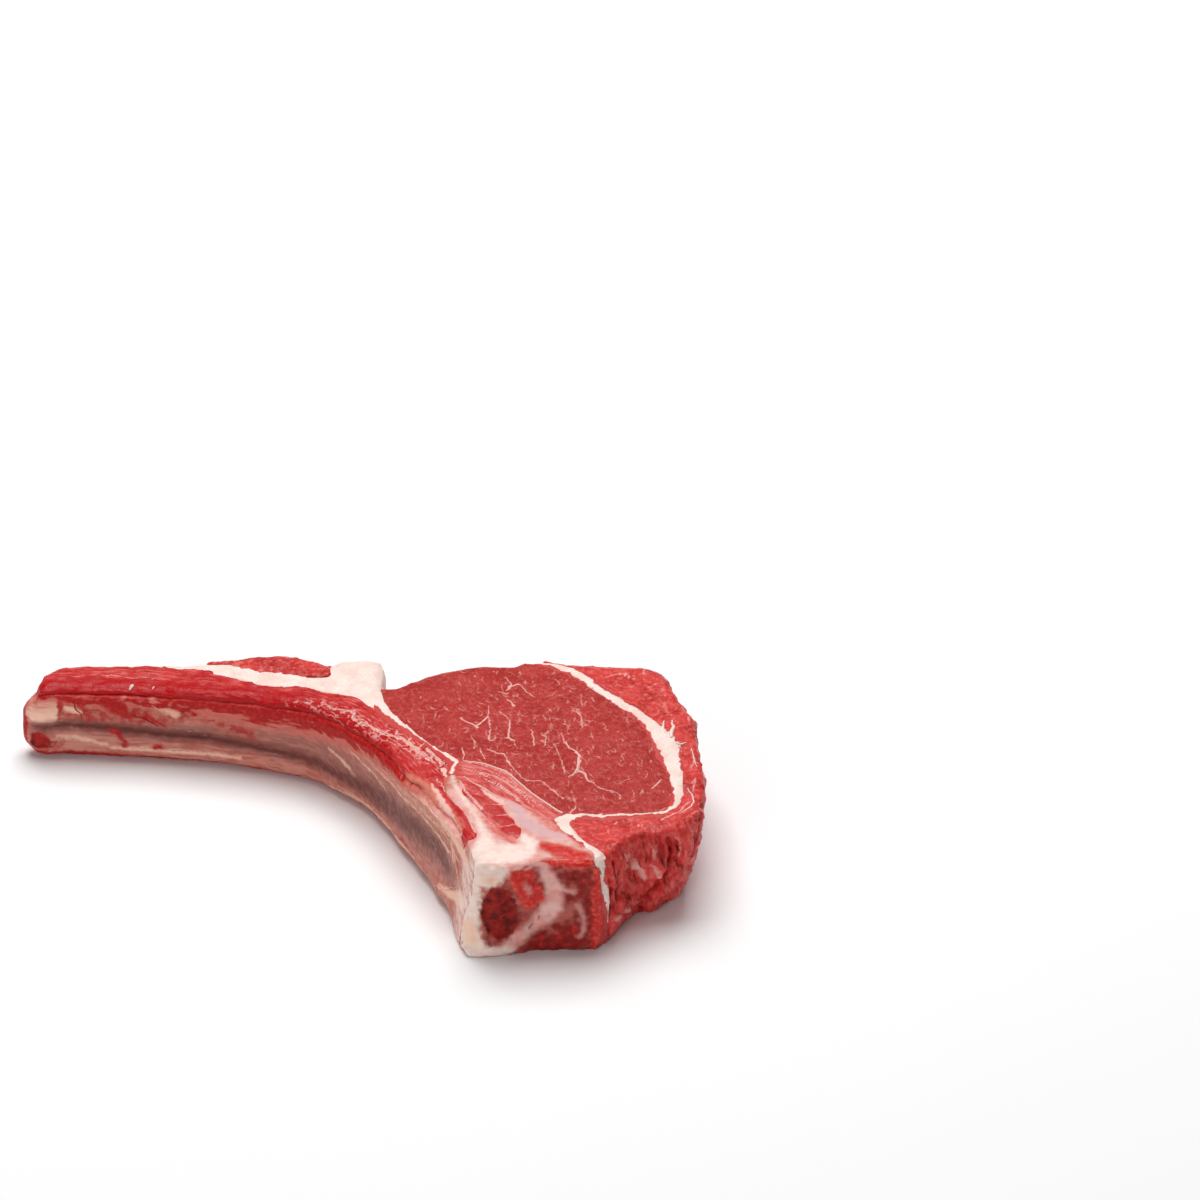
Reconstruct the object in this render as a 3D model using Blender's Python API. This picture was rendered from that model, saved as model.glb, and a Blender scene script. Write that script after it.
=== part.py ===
"""Raw lamb rib chop: a curved rib bone with its vertebra, the lean meat and the fat, lying on one
of its two cut faces.

A chop is a thick slice, so every piece starts as a straight-sided slab over its own outline.
Neighbouring pieces share a named seam, and each stands half the gap back from it. One warp then
shapes all the slabs together: the taper towards the rib tip, the rounded and craggy free edges, the
leaning bone wall, the undercut rim of the meat and the swell of the eye. The rib shaft is a loft
that is joined to the vertebra, and a wider copy of it cuts its bed into the meat.

+X runs from the rib tip to the rim of the meat, +Y away from the inner curve of the rib, and +Z up.
The origin is on the ground under the middle of the chop.
"""

import math

import bmesh
import bpy
import numpy as np
from mathutils import Vector, noise
from mathutils.geometry import delaunay_2d_cdt

MM = 0.001

# Driving dimensions, in millimetres unless a name says otherwise.
TIP_THICKNESS = 15.5
SPINE_THICKNESS = 20.3
TAPER_FROM_X = -57.0
TAPER_TO_X = 18.0
TAPER_POWER = 1.8
GAP = 0.3                     # between neighbouring pieces
OUTLINE_STEP = 3.0            # spacing of the points along a seam
CRAGGY_STEP = 2.2             # and along the torn rim of the outer meat
FACE_STEP = 5.0               # spacing of the points inside a cut face
LEVELS = (0.0, 0.04, 0.12, 0.34, 0.6, 0.86, 0.96, 1.0)    # shares of the thickness

# Seams and free edges as seen from above. Each runs through a few points and is rounded between them.
RIB_TO_FAT = [(-42.5, 34.8), (-31.5, 32.8), (-24, 29.7), (-19, 27.2), (-11.5, 25.5), (-4, 22.5),
              (0, 20), (3, 16), (5.2, 11.5), (9.7, 6.5), (12.7, 3), (15.5, -1), (17, -4.2), (16.8, -7.2)]
FAT_TO_EYE = [(3.5, 24.5), (4, 19), (6, 14.5), (9, 9.5), (11.7, 5.5), (14.5, 1.7), (17, -1), (19.5, -3)]
EYE_TO_CHINE = [(19.5, -3), (24.5, -5), (27.5, -7), (30.5, -10.5), (33, -14), (36, -17), (38.5, -19.2)]
EYE_TO_SEAM = [(28, 29.5), (34, 28.5), (40, 24.5), (46, 18), (52, 11), (55, 4), (56, -1.5), (58.5, -7),
               (58.5, -16), (55.5, -18.7), (47.5, -18.8), (38.5, -19.2)]
SEAM_TO_CAP = [(34, 30.6), (38, 29), (41, 27), (43, 24.5), (47.5, 19.5), (53, 13), (56.5, 8.5), (59, 5.5),
               (60.5, 1), (60.7, -8), (60.5, -13), (59.5, -17.5), (57, -19.8), (54, -20.4), (47.5, -20.6),
               (41.5, -20.6), (39.6, -22.6), (42, -27.5), (45, -30.3), (46.6, -32.8)]
CHINE_TO_BONE = [(36, -21.5), (33, -19.3), (30.5, -17), (28.5, -15.5), (27, -14.6), (27.2, -17), (29, -20),
                 (30.5, -23.5), (30.6, -27), (28.6, -28.4), (26.6, -25), (24, -20.3), (21.5, -16),
                 (19.7, -11.5), (18.3, -7.6)]
BONE_TO_SEAM = [(36, -21.5), (39.5, -26.5), (41.5, -29), (44, -31.5), (45, -34)]
RIB_TO_BONE = [(16.8, -7.2), (17.4, -11.5), (19.1, -15), (21, -19.5), (22.4, -23.5), (22.7, -26),
               (21.5, -26.6), (20, -26)]
INNER_EDGE = [(-62, 27), (-51, 26.8), (-31.5, 24.5), (-22, 22.5), (-12, 19.3), (-4.5, 14.5), (1.2, 8),
              (5.5, 1.5), (9.3, -5.5), (13, -11.8), (16.3, -17.3), (18.7, -22), (20, -26)]
VERTEBRA_FRONT = [(20, -26), (20.5, -29.5), (21.5, -33), (23, -35.4), (26, -36.3), (30, -35.6),
                  (35, -34.4), (41, -35), (45, -34)]
CAP_RIM = [(34.4, 32), (41.5, 30.2), (49, 29.7), (54.5, 29.5), (57.2, 27.7), (58.7, 23.5), (61.5, 17.5),
           (64, 12.5), (64.7, 4), (65, -3.5), (65.5, -11), (65, -18), (63, -22), (59, -24.5),
           (54.5, -24.8), (52, -27), (48.8, -30.6), (46.6, -32.8)]
SEAM_TOP_END = [(28, 29.5), (34, 30.6)]
EYE_BACK = [(28, 29.5), (24, 30.2), (20.5, 29.6), (16, 28.5), (11, 27), (8.5, 26), (6.5, 24.2), (3.5, 24.5)]
FLAP = [(3.5, 24.5), (4.2, 28.5), (4, 31.5), (2.2, 33.5), (-4.5, 34), (-6.5, 32)]
FLAP_SIDE = [(-6.5, 32), (-6.2, 28.7)]
FAT_TO_FLANK = [(-6.2, 28.7), (-10.5, 29), (-16.5, 31), (-21.5, 32.5), (-25, 34.1), (-30, 35.2)]
FLANK_BACK = [(-6.5, 32), (-9, 34.4), (-12, 36.2), (-15, 37.5), (-18.5, 37.6), (-24, 36.9), (-30.3, 36.5)]
FAT_BACK = [(-30.3, 36.5), (-30, 35.2), (-36, 35.8), (-43, 36.1)]
RIB_BACK = [(-43, 36.1), (-51, 36.4), (-57.5, 36.4)]
RIB_TIP = [(-57.5, 36.4), (-61, 33.2), (-62.5, 30), (-62, 27)]

# The rib shaft: the middle line of the bone, its section and the groove along its inner side.
SHAFT_LINE = [(-65, 29), (-62, 28.6), (-51, 28.3), (-31.2, 26), (-21.6, 24), (-11.2, 20.7), (-3.3, 15.5),
              (2.7, 8.8), (7, 2.2), (10.8, -4.8), (14.5, -11.1), (17.8, -16.8), (20.2, -21.4), (22.5, -26),
              (25, -30)]
SHAFT_STEP = 4.0
SHAFT_HALF_THICKNESS = 2.2
SHAFT_LOW = 0.01              # shares of the chop's thickness
SHAFT_HIGH = 0.86
SHAFT_SIDES = 16
SHAFT_SQUARENESS = 0.62       # 1 is an ellipse, 0 a box
SHAFT_END_ROUNDING = 2.5
GROOVE_DEPTH_TIP = 0.6
GROOVE_DEPTH_SPINE = 1.1
GROOVE_HEIGHT_TIP = 0.45
GROOVE_HEIGHT_SPINE = 0.56
GROOVE_HALF_WIDTH = 0.11
BED_CLEARANCE = 0.3
BED_SHOULDER = math.radians(35)    # the meat laps over the bone down to this angle
BED_OUTREACH = 6.0            # how far the bed's cutter stands out of the inner edge
BED_SKIRT = 0.2               # and under the chop, as a share of the thickness

# The warp of the whole slice.
EDGE_ROUND_TOP = 1.8
EDGE_ROUND_BASE = 0.8
EDGE_ROUND_SHARE = 0.11       # of the thickness, at each cut face
SAWN_SHARPNESS = 0.65         # how much crisper the edges of the sawn vertebra are
SAWN_CENTRE = (33.0, -35.0)
SAWN_RADII = (14.0, 7.0)
RIM_REACH = 4.0
RELIEF = 0.45
RELIEF_SIZE = 6.0
CRAG = 1.1
CRAG_SIZE = 4.2
CRAG_FROM_X = 44.0
CRAG_TO_X = 54.0
FACE_RELIEF = 0.35
FACE_RELIEF_SIZE = 9.0
EYE_CENTRE = (33.0, 4.0)
EYE_RADII = (28.0, 25.0)
EYE_SWELL = 0.9
UNDERCUT = 7.0
UNDERCUT_POWER = 1.5
UNDERCUT_DIRECTION = math.radians(-15)
UNDERCUT_HALF_ANGLE = math.radians(55)
UNDERCUT_FROM_RADIUS = 14.0
UNDERCUT_TO_RADIUS = 36.0
LEAN = 2.8
LEAN_DIRECTION = (-0.84, -0.54)
LEAN_CENTRE = (20.0, -27.0)
LEAN_RADII = (10.0, 18.0)


def smooth(points, step=OUTLINE_STEP):
    """A rounded run through the points, with a point every step or so and the ends kept."""
    knots = [Vector(p) for p in points]
    knots = [2 * knots[0] - knots[1]] + knots + [2 * knots[-1] - knots[-2]]
    fine = []
    for a, b, c, d in zip(knots, knots[1:], knots[2:], knots[3:]):
        for k in range(12):
            t = k / 12
            fine.append(0.5 * (2 * b + (c - a) * t + (2 * a - 5 * b + 4 * c - d) * t ** 2
                               + (3 * b - a - 3 * c + d) * t ** 3))
    fine.append(knots[-2])
    travelled = np.cumsum([0] + [(q - p).length for p, q in zip(fine, fine[1:])])
    count = max(1, round(travelled[-1] / step))
    stations = np.linspace(0, travelled[-1], count + 1)
    xs = np.interp(stations, travelled, [p.x for p in fine])
    ys = np.interp(stations, travelled, [p.y for p in fine])
    return list(zip(xs, ys))


RIB_TO_FAT, FAT_TO_EYE, EYE_TO_CHINE, EYE_TO_SEAM, SEAM_TO_CAP = map(
    smooth, (RIB_TO_FAT, FAT_TO_EYE, EYE_TO_CHINE, EYE_TO_SEAM, SEAM_TO_CAP))
CHINE_TO_BONE, BONE_TO_SEAM, RIB_TO_BONE, INNER_EDGE = map(
    smooth, (CHINE_TO_BONE, BONE_TO_SEAM, RIB_TO_BONE, INNER_EDGE))
VERTEBRA_FRONT, EYE_BACK, FLAP, FAT_TO_FLANK, FLANK_BACK = map(
    smooth, (VERTEBRA_FRONT, EYE_BACK, FLAP, FAT_TO_FLANK, FLANK_BACK))
RIB_BACK, RIB_TIP = map(smooth, (RIB_BACK, RIB_TIP))
CAP_RIM = smooth(CAP_RIM, CRAGGY_STEP)


def loop(*runs):
    """One closed outline, counter-clockwise, from runs laid end to end in either direction."""
    points = list(runs[0])
    for run in runs[1:]:
        near, far = Vector(run[0]), Vector(run[-1])
        end = Vector(points[-1])
        points += run if (near - end).length <= (far - end).length else run[::-1]
    kept = [p for p, q in zip(points, points[1:] + points[:1]) if (Vector(p) - Vector(q)).length > 0.05]
    area = sum(p[0] * q[1] - q[0] * p[1] for p, q in zip(kept, kept[1:] + kept[:1]))
    return kept if area > 0 else kept[::-1]


def inset(outline, distance):
    """The outline with every side moved inwards by the distance."""
    moved = []
    for before, here, after in zip(outline[-1:] + outline, outline, outline[1:] + outline[:1]):
        here = Vector(here)
        first = (here - Vector(before)).normalized()
        second = (Vector(after) - here).normalized()
        first_in, second_in = Vector((-first.y, first.x)), Vector((-second.y, second.x))
        bisector = (first_in + second_in).normalized()
        moved.append(tuple(here + bisector * distance / max(bisector.dot(first_in), 0.4)))
    return moved


RIM = loop(INNER_EDGE, VERTEBRA_FRONT, CAP_RIM[::-1], SEAM_TOP_END, EYE_BACK, FLAP, FLANK_BACK,
           FAT_BACK, RIB_BACK, RIB_TIP)
RIM_POINTS = np.array(RIM)
RIM_SIDES = np.roll(RIM_POINTS, -1, axis=0) - RIM_POINTS
RIM_CORNER_NORMALS = np.roll(RIM_POINTS, -1, axis=0) - np.roll(RIM_POINTS, 1, axis=0)
RIM_CORNER_NORMALS = np.stack([-RIM_CORNER_NORMALS[:, 1], RIM_CORNER_NORMALS[:, 0]], axis=1)


def rim_near(x, y):
    """Distance from a place to the rim of the chop, and the direction in from the rim there."""
    offset = np.array([x, y]) - RIM_POINTS
    along = np.clip((offset * RIM_SIDES).sum(1) / (RIM_SIDES ** 2).sum(1), 0, 1)
    distance = np.hypot(*(offset - along[:, None] * RIM_SIDES).T)
    i = int(distance.argmin())
    j = (i + 1) % len(RIM_POINTS)
    inward = (1 - along[i]) * RIM_CORNER_NORMALS[i] + along[i] * RIM_CORNER_NORMALS[j]
    return float(distance[i]), inward / np.hypot(*inward)


def ramp(value, start, end):
    """0 before the start, 1 after the end and a straight rise between them."""
    return min(max((value - start) / (end - start), 0.0), 1.0)


def thickness(x):
    """Thickness of the slice at x, growing from the rib tip to the spine."""
    growth = ramp(x, TAPER_FROM_X, TAPER_TO_X) ** TAPER_POWER
    return TIP_THICKNESS + (SPINE_THICKNESS - TIP_THICKNESS) * growth


def bump(x, y, centre, radii):
    """1 at the centre, fading to nothing over the two radii."""
    return math.exp(-((x - centre[0]) / radii[0]) ** 2 - ((y - centre[1]) / radii[1]) ** 2)


def rim_draw(x, y, h):
    """How far the free edge is drawn in at height h: rounded at both cut faces, rough between them."""
    corner = 1 - min(max(min(h, 1 - h), 0) / EDGE_ROUND_SHARE, 1)
    radius = EDGE_ROUND_TOP if h > 0.5 else EDGE_ROUND_BASE
    radius *= 1 - SAWN_SHARPNESS * bump(x, y, SAWN_CENTRE, SAWN_RADII)
    rounding = radius * (1 - math.sqrt(1 - corner ** 2))
    soft = RELIEF * noise.noise(Vector((x, y, 8 * h)) / RELIEF_SIZE)
    craggy = CRAG * ramp(x, CRAG_FROM_X, CRAG_TO_X) * noise.noise(Vector((x, y, 5 * h)) / CRAG_SIZE)
    return rounding + soft + craggy


def warp(x, y, h):
    """Place of a slab's point in the finished chop; h is its height as a share of the thickness."""
    distance, inward = rim_near(x, y)
    draw = rim_draw(x, y, h) * (1 - ramp(distance, 0, RIM_REACH))
    lean = LEAN * (1 - h) * bump(x, y, LEAN_CENTRE, LEAN_RADII)
    east, north = x - EYE_CENTRE[0], y - EYE_CENTRE[1]
    swing = abs(math.atan2(north, east) - UNDERCUT_DIRECTION) / UNDERCUT_HALF_ANGLE
    cut = UNDERCUT * (1 - h) ** UNDERCUT_POWER * math.cos(min(swing, 1) * math.pi / 2)
    cut *= ramp(math.hypot(east, north), UNDERCUT_FROM_RADIUS, UNDERCUT_TO_RADIUS)
    swell = EYE_SWELL * max(0, 1 - (east / EYE_RADII[0]) ** 2 - (north / EYE_RADII[1]) ** 2)
    swell += FACE_RELIEF * noise.noise(Vector((x, y, 0)) / FACE_RELIEF_SIZE)
    new_x = x + inward[0] * draw + LEAN_DIRECTION[0] * lean - math.cos(UNDERCUT_DIRECTION) * cut
    new_y = y + inward[1] * draw + LEAN_DIRECTION[1] * lean - math.sin(UNDERCUT_DIRECTION) * cut
    return Vector((new_x, new_y, h * (thickness(x) + swell)))


def face_points(outline):
    """Points spread over the inside of an outline in rows, clear of its edge."""
    corners = np.array(outline)
    sides = np.roll(corners, -1, axis=0) - corners
    low, high = corners.min(0), corners.max(0)
    found = []
    for row, y in enumerate(np.arange(low[1], high[1], FACE_STEP * 0.866)):
        for x in np.arange(low[0] + FACE_STEP * 0.5 * (row % 2), high[0], FACE_STEP):
            offset = np.array([x, y]) - corners
            along = np.clip((offset * sides).sum(1) / (sides ** 2).sum(1), 0, 1)
            clear = np.hypot(*(offset - along[:, None] * sides).T).min() > FACE_STEP * 0.5
            crossed = ((offset[:, 1] < 0) != (offset[:, 1] < sides[:, 1]))
            right = offset[:, 0] < sides[:, 0] * offset[:, 1] / np.where(sides[:, 1] == 0, 1, sides[:, 1])
            if clear and (crossed & right).sum() % 2:
                found.append((x, y))
    return found


def add_mesh(name, vertices, faces, collection):
    """A new object from points in millimetres, with its faces turned outwards."""
    bm = bmesh.new()
    corners = [bm.verts.new(Vector(v) * MM) for v in vertices]
    for face in faces:
        bm.faces.new([corners[i] for i in face])
    bmesh.ops.recalc_face_normals(bm, faces=bm.faces)
    mesh = bpy.data.meshes.new(name)
    bm.to_mesh(mesh)
    bm.free()
    obj = bpy.data.objects.new(name, mesh)
    collection.objects.link(obj)
    return obj


def tube_faces(rings, sides):
    """Four-sided faces between rings of vertices that follow each other."""
    return [(k * sides + i, k * sides + (i + 1) % sides, (k + 1) * sides + (i + 1) % sides,
             (k + 1) * sides + i) for k in range(rings - 1) for i in range(sides)]


def wall_faces(outline, levels):
    """Triangles of a slab's wall, split the same way on both sides of a seam."""
    sides = len(outline)
    faces = []
    for low, left, right, high in ((k * sides, i, (i + 1) % sides, (k + 1) * sides)
                                   for k in range(levels - 1) for i in range(sides)):
        lower_left, lower_right, upper_right, upper_left = low + left, low + right, high + right, high + left
        if outline[left][0] + 0.4 * outline[left][1] < outline[right][0] + 0.4 * outline[right][1]:
            faces += [(lower_left, lower_right, upper_right), (lower_left, upper_right, upper_left)]
        else:
            faces += [(lower_left, lower_right, upper_left), (lower_right, upper_right, upper_left)]
    return faces


def slab(name, collection, *runs):
    """A piece of the slice: a warped slab over the outline that the runs make."""
    outline = inset(loop(*runs), GAP / 2)
    sides = len(outline)
    inside = face_points(outline)
    vertices = [warp(x, y, h) for h in LEVELS for x, y in outline]
    faces = wall_faces(outline, len(LEVELS))
    edges = [(i, (i + 1) % sides) for i in range(sides)]
    flat, _, triangles, origins, _, _ = delaunay_2d_cdt(
        [Vector(p) for p in outline + inside], edges, [], 1, 1e-5)
    for h, ring in ((0.0, 0), (1.0, len(LEVELS) - 1)):
        base = len(vertices)
        vertices += [warp(x, y, h) for x, y in inside]
        index = [origin[0] for origin in origins]
        place = [ring * sides + i if i < sides else base + i - sides for i in index]
        faces += [[place[i] for i in triangle] for triangle in triangles]
    return add_mesh(name, vertices, faces, collection)


def shaft_section(angle, share, clearance):
    """Offset to the inner side and height share of one point on the rib's section."""
    rise = GROOVE_HEIGHT_TIP + (GROOVE_HEIGHT_SPINE - GROOVE_HEIGHT_TIP) * share
    depth = GROOVE_DEPTH_TIP + (GROOVE_DEPTH_SPINE - GROOVE_DEPTH_TIP) * share
    middle, half = (SHAFT_HIGH + SHAFT_LOW) / 2, (SHAFT_HIGH - SHAFT_LOW) / 2
    half += clearance / SPINE_THICKNESS
    out = math.copysign(abs(math.cos(angle)) ** SHAFT_SQUARENESS, math.cos(angle))
    up = math.copysign(abs(math.sin(angle)) ** SHAFT_SQUARENESS, math.sin(angle))
    height = middle + half * up
    groove = depth * math.exp(-((height - rise) / GROOVE_HALF_WIDTH) ** 2) if out > 0 else 0
    return out * (SHAFT_HALF_THICKNESS + clearance) - groove, height


def rib_loft(name, collection, section, rounded_end):
    """A loft along the rib's middle line; section(share) gives offsets to the inner side and heights."""
    line = smooth(SHAFT_LINE, SHAFT_STEP)
    if rounded_end:
        start, second = Vector(line[0]), Vector(line[1])
        line[1:1] = [tuple(start.lerp(second, share)) for share in (0.2, 0.6)]
    vertices = []
    for i, (x, y) in enumerate(line):
        ahead = Vector(line[min(i + 1, len(line) - 1)]) - Vector(line[max(i - 1, 0)])
        inner = Vector((ahead.y, -ahead.x)).normalized()
        points = section(i / (len(line) - 1))
        if rounded_end:
            from_end = (Vector((x, y)) - Vector(line[0])).length
            fullness = math.sqrt(ramp(from_end, -0.3 * SHAFT_END_ROUNDING, SHAFT_END_ROUNDING))
            middle = (SHAFT_HIGH + SHAFT_LOW) / 2
            points = [(out * fullness, middle + (height - middle) * fullness) for out, height in points]
        vertices += [warp(x + inner.x * out, y + inner.y * out, height) for out, height in points]
    sides = len(points)
    caps = [tuple(range(sides)), tuple(range(len(vertices) - sides, len(vertices)))]
    return add_mesh(name, vertices, tube_faces(len(line), sides) + caps, collection)


def shaft_points(share):
    """The rib's whole section."""
    return [shaft_section(2 * math.pi * i / SHAFT_SIDES, share, 0) for i in range(SHAFT_SIDES)]


def bed_points(share):
    """The section of the bed: round over the top and back of the rib, open in front and below."""
    span = 1.5 * math.pi - BED_SHOULDER
    count = SHAFT_SIDES * 2 // 3
    back = [shaft_section(BED_SHOULDER + span * i / count, share, BED_CLEARANCE) for i in range(count + 1)]
    return back + [(back[-1][0], -BED_SKIRT), (BED_OUTREACH, -BED_SKIRT), (BED_OUTREACH, back[0][1])]


def boolean(obj, other, operation):
    """Join the other solid to the object, or cut it out."""
    modifier = obj.modifiers.new(operation.title(), "BOOLEAN")
    modifier.operation = operation
    modifier.object = other
    modifier.solver = "EXACT"
    other.hide_render = True
    other.display_type = "WIRE"


def paint(obj, colour, roughness):
    """A moist, non-metallic material of its own for a piece."""
    material = bpy.data.materials.new(obj.name)
    material.use_nodes = True
    shader = material.node_tree.nodes["Principled BSDF"]
    shader.inputs["Base Color"].default_value = (*colour, 1)
    shader.inputs["Roughness"].default_value = roughness
    shader.inputs["Metallic"].default_value = 0
    material.diffuse_color = (*colour, 1)
    obj.data.materials.append(material)


def bone(chop, tools):
    """The vertebra's sawn block with the white edge that runs up from it, and the rib shaft."""
    obj = slab("bone", chop, CHINE_TO_BONE, RIB_TO_BONE, VERTEBRA_FRONT, BONE_TO_SEAM)
    boolean(obj, rib_loft("rib_shaft", tools, shaft_points, rounded_end=True), "UNION")
    paint(obj, (0.68, 0.42, 0.34), 0.45)


def rib_meat(chop, tools):
    """The strip of meat along the rib, bedded over the top and back of the shaft."""
    obj = slab("rib_meat", chop, RIB_TO_FAT, RIB_TO_BONE, INNER_EDGE, RIB_TIP, RIB_BACK)
    boolean(obj, rib_loft("rib_bed", tools, bed_points, rounded_end=False), "DIFFERENCE")
    paint(obj, (0.62, 0.07, 0.07), 0.38)


def rib_fat(chop):
    """The white fat behind the rib, its raised flap and the line that runs down beside the eye."""
    obj = slab("rib_fat", chop, RIB_TO_FAT, [CHINE_TO_BONE[-1]], FAT_TO_EYE, FLAP, FLAP_SIDE,
               FAT_TO_FLANK, FAT_BACK[1:])
    paint(obj, (0.93, 0.72, 0.66), 0.42)


def flank_meat(chop):
    """The small piece of red meat on the back of the rib fat."""
    obj = slab("flank_meat", chop, FLANK_BACK, FAT_BACK[:2], FAT_TO_FLANK, FLAP_SIDE)
    paint(obj, (0.52, 0.04, 0.04), 0.38)


def eye_muscle(chop):
    """The round eye of lean meat."""
    obj = slab("eye_muscle", chop, FAT_TO_EYE, EYE_TO_CHINE, EYE_TO_SEAM, EYE_BACK)
    paint(obj, (0.5, 0.075, 0.06), 0.36)


def chine_muscle(chop):
    """The streaky muscle between the eye and the vertebra."""
    obj = slab("chine_muscle", chop, EYE_TO_CHINE, CHINE_TO_BONE)
    paint(obj, (0.66, 0.14, 0.13), 0.38)


def seam_fat(chop):
    """The white fat that wraps the outer side of the eye and runs down beside the vertebra."""
    obj = slab("seam_fat", chop, EYE_TO_SEAM, BONE_TO_SEAM, SEAM_TO_CAP, SEAM_TOP_END)
    paint(obj, (0.93, 0.74, 0.66), 0.42)


def cap_muscle(chop):
    """The outer meat with its craggy rim."""
    obj = slab("cap_muscle", chop, SEAM_TO_CAP, CAP_RIM)
    paint(obj, (0.6, 0.07, 0.07), 0.38)


def centre_over_origin(collections):
    """Move everything so that the middle of the chop's box stands over the origin."""
    bpy.context.view_layer.update()
    evaluated = bpy.context.evaluated_depsgraph_get()
    corners = [Vector(corner) for obj in collections[0].objects
               for corner in obj.evaluated_get(evaluated).bound_box]
    middle_x = (max(c.x for c in corners) + min(c.x for c in corners)) / 2
    middle_y = (max(c.y for c in corners) + min(c.y for c in corners)) / 2
    for collection in collections:
        for obj in collection.objects:
            obj.location = (-middle_x, -middle_y, 0)


def build():
    """Clear the scene and model the chop."""
    for obj in list(bpy.data.objects):
        bpy.data.objects.remove(obj, do_unlink=True)
    chop = bpy.data.collections.new("lamb_chop")
    tools = bpy.data.collections.new("lamb_chop_cutters")
    for collection in (chop, tools):
        bpy.context.scene.collection.children.link(collection)
    bone(chop, tools)
    rib_meat(chop, tools)
    for piece in (rib_fat, flank_meat, eye_muscle, chine_muscle, seam_fat, cap_muscle):
        piece(chop)
    for obj in chop.objects:
        obj.data.shade_smooth()
        obj.data.set_sharp_from_angle(angle=math.radians(50))
    centre_over_origin((chop, tools))


build()
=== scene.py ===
"""Raw lamb rib chop, dressed: lean, fat, bone and cartilage over the frame's solids."""

import itertools
import math

import bmesh
import bpy
import numpy as np
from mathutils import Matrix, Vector
from mathutils.bvhtree import BVHTree


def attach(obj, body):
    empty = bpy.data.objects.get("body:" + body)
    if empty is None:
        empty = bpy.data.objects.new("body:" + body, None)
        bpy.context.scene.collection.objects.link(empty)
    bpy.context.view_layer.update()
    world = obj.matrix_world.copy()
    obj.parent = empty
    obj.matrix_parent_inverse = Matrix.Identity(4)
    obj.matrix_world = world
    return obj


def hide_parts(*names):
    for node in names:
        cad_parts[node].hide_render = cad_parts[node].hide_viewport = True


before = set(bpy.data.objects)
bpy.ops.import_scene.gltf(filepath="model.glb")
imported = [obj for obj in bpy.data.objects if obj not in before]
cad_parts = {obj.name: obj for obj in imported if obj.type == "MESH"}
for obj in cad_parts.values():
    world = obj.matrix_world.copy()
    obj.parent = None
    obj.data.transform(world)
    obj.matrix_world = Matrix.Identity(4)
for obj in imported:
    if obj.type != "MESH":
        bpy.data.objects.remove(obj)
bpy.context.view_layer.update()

MM = 0.001

# ---- Eye muscle --------------------------------------------------------------------------------
# The round eye of lean, cut across its fibres: dark red bundles with threads of fat between them.
# A fine skin over the node's solid, let a little under its neighbours and roughened as cut meat is.

SEAM_REACH = 0.6              # millimetres, as every size here
LEAST_GAP = 0.05
FLOOR_STEP = 0.3
CUT_HEIGHT = 21.0
RIM_DEPTH = 2.2
RIM_CLEAR = (1.2, 2.6)        # gap to the neighbours from which a rim starts to ease, and is eased in full


def node_surface(name):
    """Corners in millimetres and triangles of a node, with its doubles merged."""
    bm = bmesh.new()
    bm.from_mesh(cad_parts[name].data)
    bmesh.ops.remove_doubles(bm, verts=bm.verts, dist=0.001 * MM)
    corners = np.array([v.co[:] for v in bm.verts]) / MM
    triangles = [tuple(v.index for v in f.verts) for f in bm.faces]
    bm.free()
    return corners, triangles


SURFACES = {name: node_surface(name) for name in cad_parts}
TREES = {name: BVHTree.FromPolygons(*surface) for name, surface in SURFACES.items()}


def corners_of(obj):
    """Corners in millimetres and their normals."""
    mesh = obj.data
    flat = np.empty(len(mesh.vertices) * 3)
    mesh.vertices.foreach_get("co", flat)
    normals = np.empty(len(mesh.vertices) * 3)
    mesh.vertex_normals.foreach_get("vector", normals)
    return flat.reshape(-1, 3) / MM, normals.reshape(-1, 3)


def move_to(obj, corners, floor=None):
    """Give the object's corners new places, none of them under a floor where one is given."""
    if floor is not None:
        corners[:, 2] = np.maximum(corners[:, 2], floor)
    obj.data.vertices.foreach_set("co", (corners * MM).ravel())
    obj.data.update()


def refine_top(obj):
    """Four faces for one where the upper cut face is drawn on."""
    bm = bmesh.new()
    bm.from_mesh(obj.data)
    edges = {edge for face in bm.faces if face.normal.z > 0.7 for edge in face.edges}
    bmesh.ops.subdivide_edges(bm, edges=list(edges), cuts=1, use_grid_fill=True)
    for face in bm.faces:
        face.smooth = True
    bm.to_mesh(obj.data)
    bm.free()


def placed(name, data):
    """A new object in the scene."""
    obj = bpy.data.objects.new(name, data)
    bpy.context.scene.collection.objects.link(obj)
    return obj


def settle(obj):
    """Work an object's modifiers into its mesh."""
    obj.data = bpy.data.meshes.new_from_object(obj.evaluated_get(bpy.context.evaluated_depsgraph_get()))
    obj.modifiers.clear()


def fine_skin(name, laps, step=0.4, smoothing=5, rim=24):
    """A fine closed copy of a node, let a little way into the neighbours it touches, its free rim eased."""
    found, triangles = SURFACES[name]
    corners = found.copy()
    if not isinstance(laps, dict):
        laps = {other: laps for other in TREES if other != name}
    for other, lap in laps.items():
        for i, corner in enumerate(found):
            near, _, _, gap = TREES[other].find_nearest(Vector(corner), SEAM_REACH)
            if near is not None and gap > LEAST_GAP:
                corners[i] = corner + (np.array(near) - corner) / gap * lap
    mesh = bpy.data.meshes.new(name + "_skin")
    mesh.from_pydata((corners * MM).tolist(), [], triangles)
    obj = placed(name + "_skin", mesh)
    remesh = obj.modifiers.new("Remesh", "REMESH")
    remesh.mode = "VOXEL"
    remesh.voxel_size = step * MM
    remesh.use_smooth_shade = True
    soften = obj.modifiers.new("Soften", "SMOOTH")
    soften.iterations = smoothing
    settle(obj)
    obj.data.shade_smooth()
    if rim:
        soften_rim(obj, name, rim)
    return obj


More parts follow.
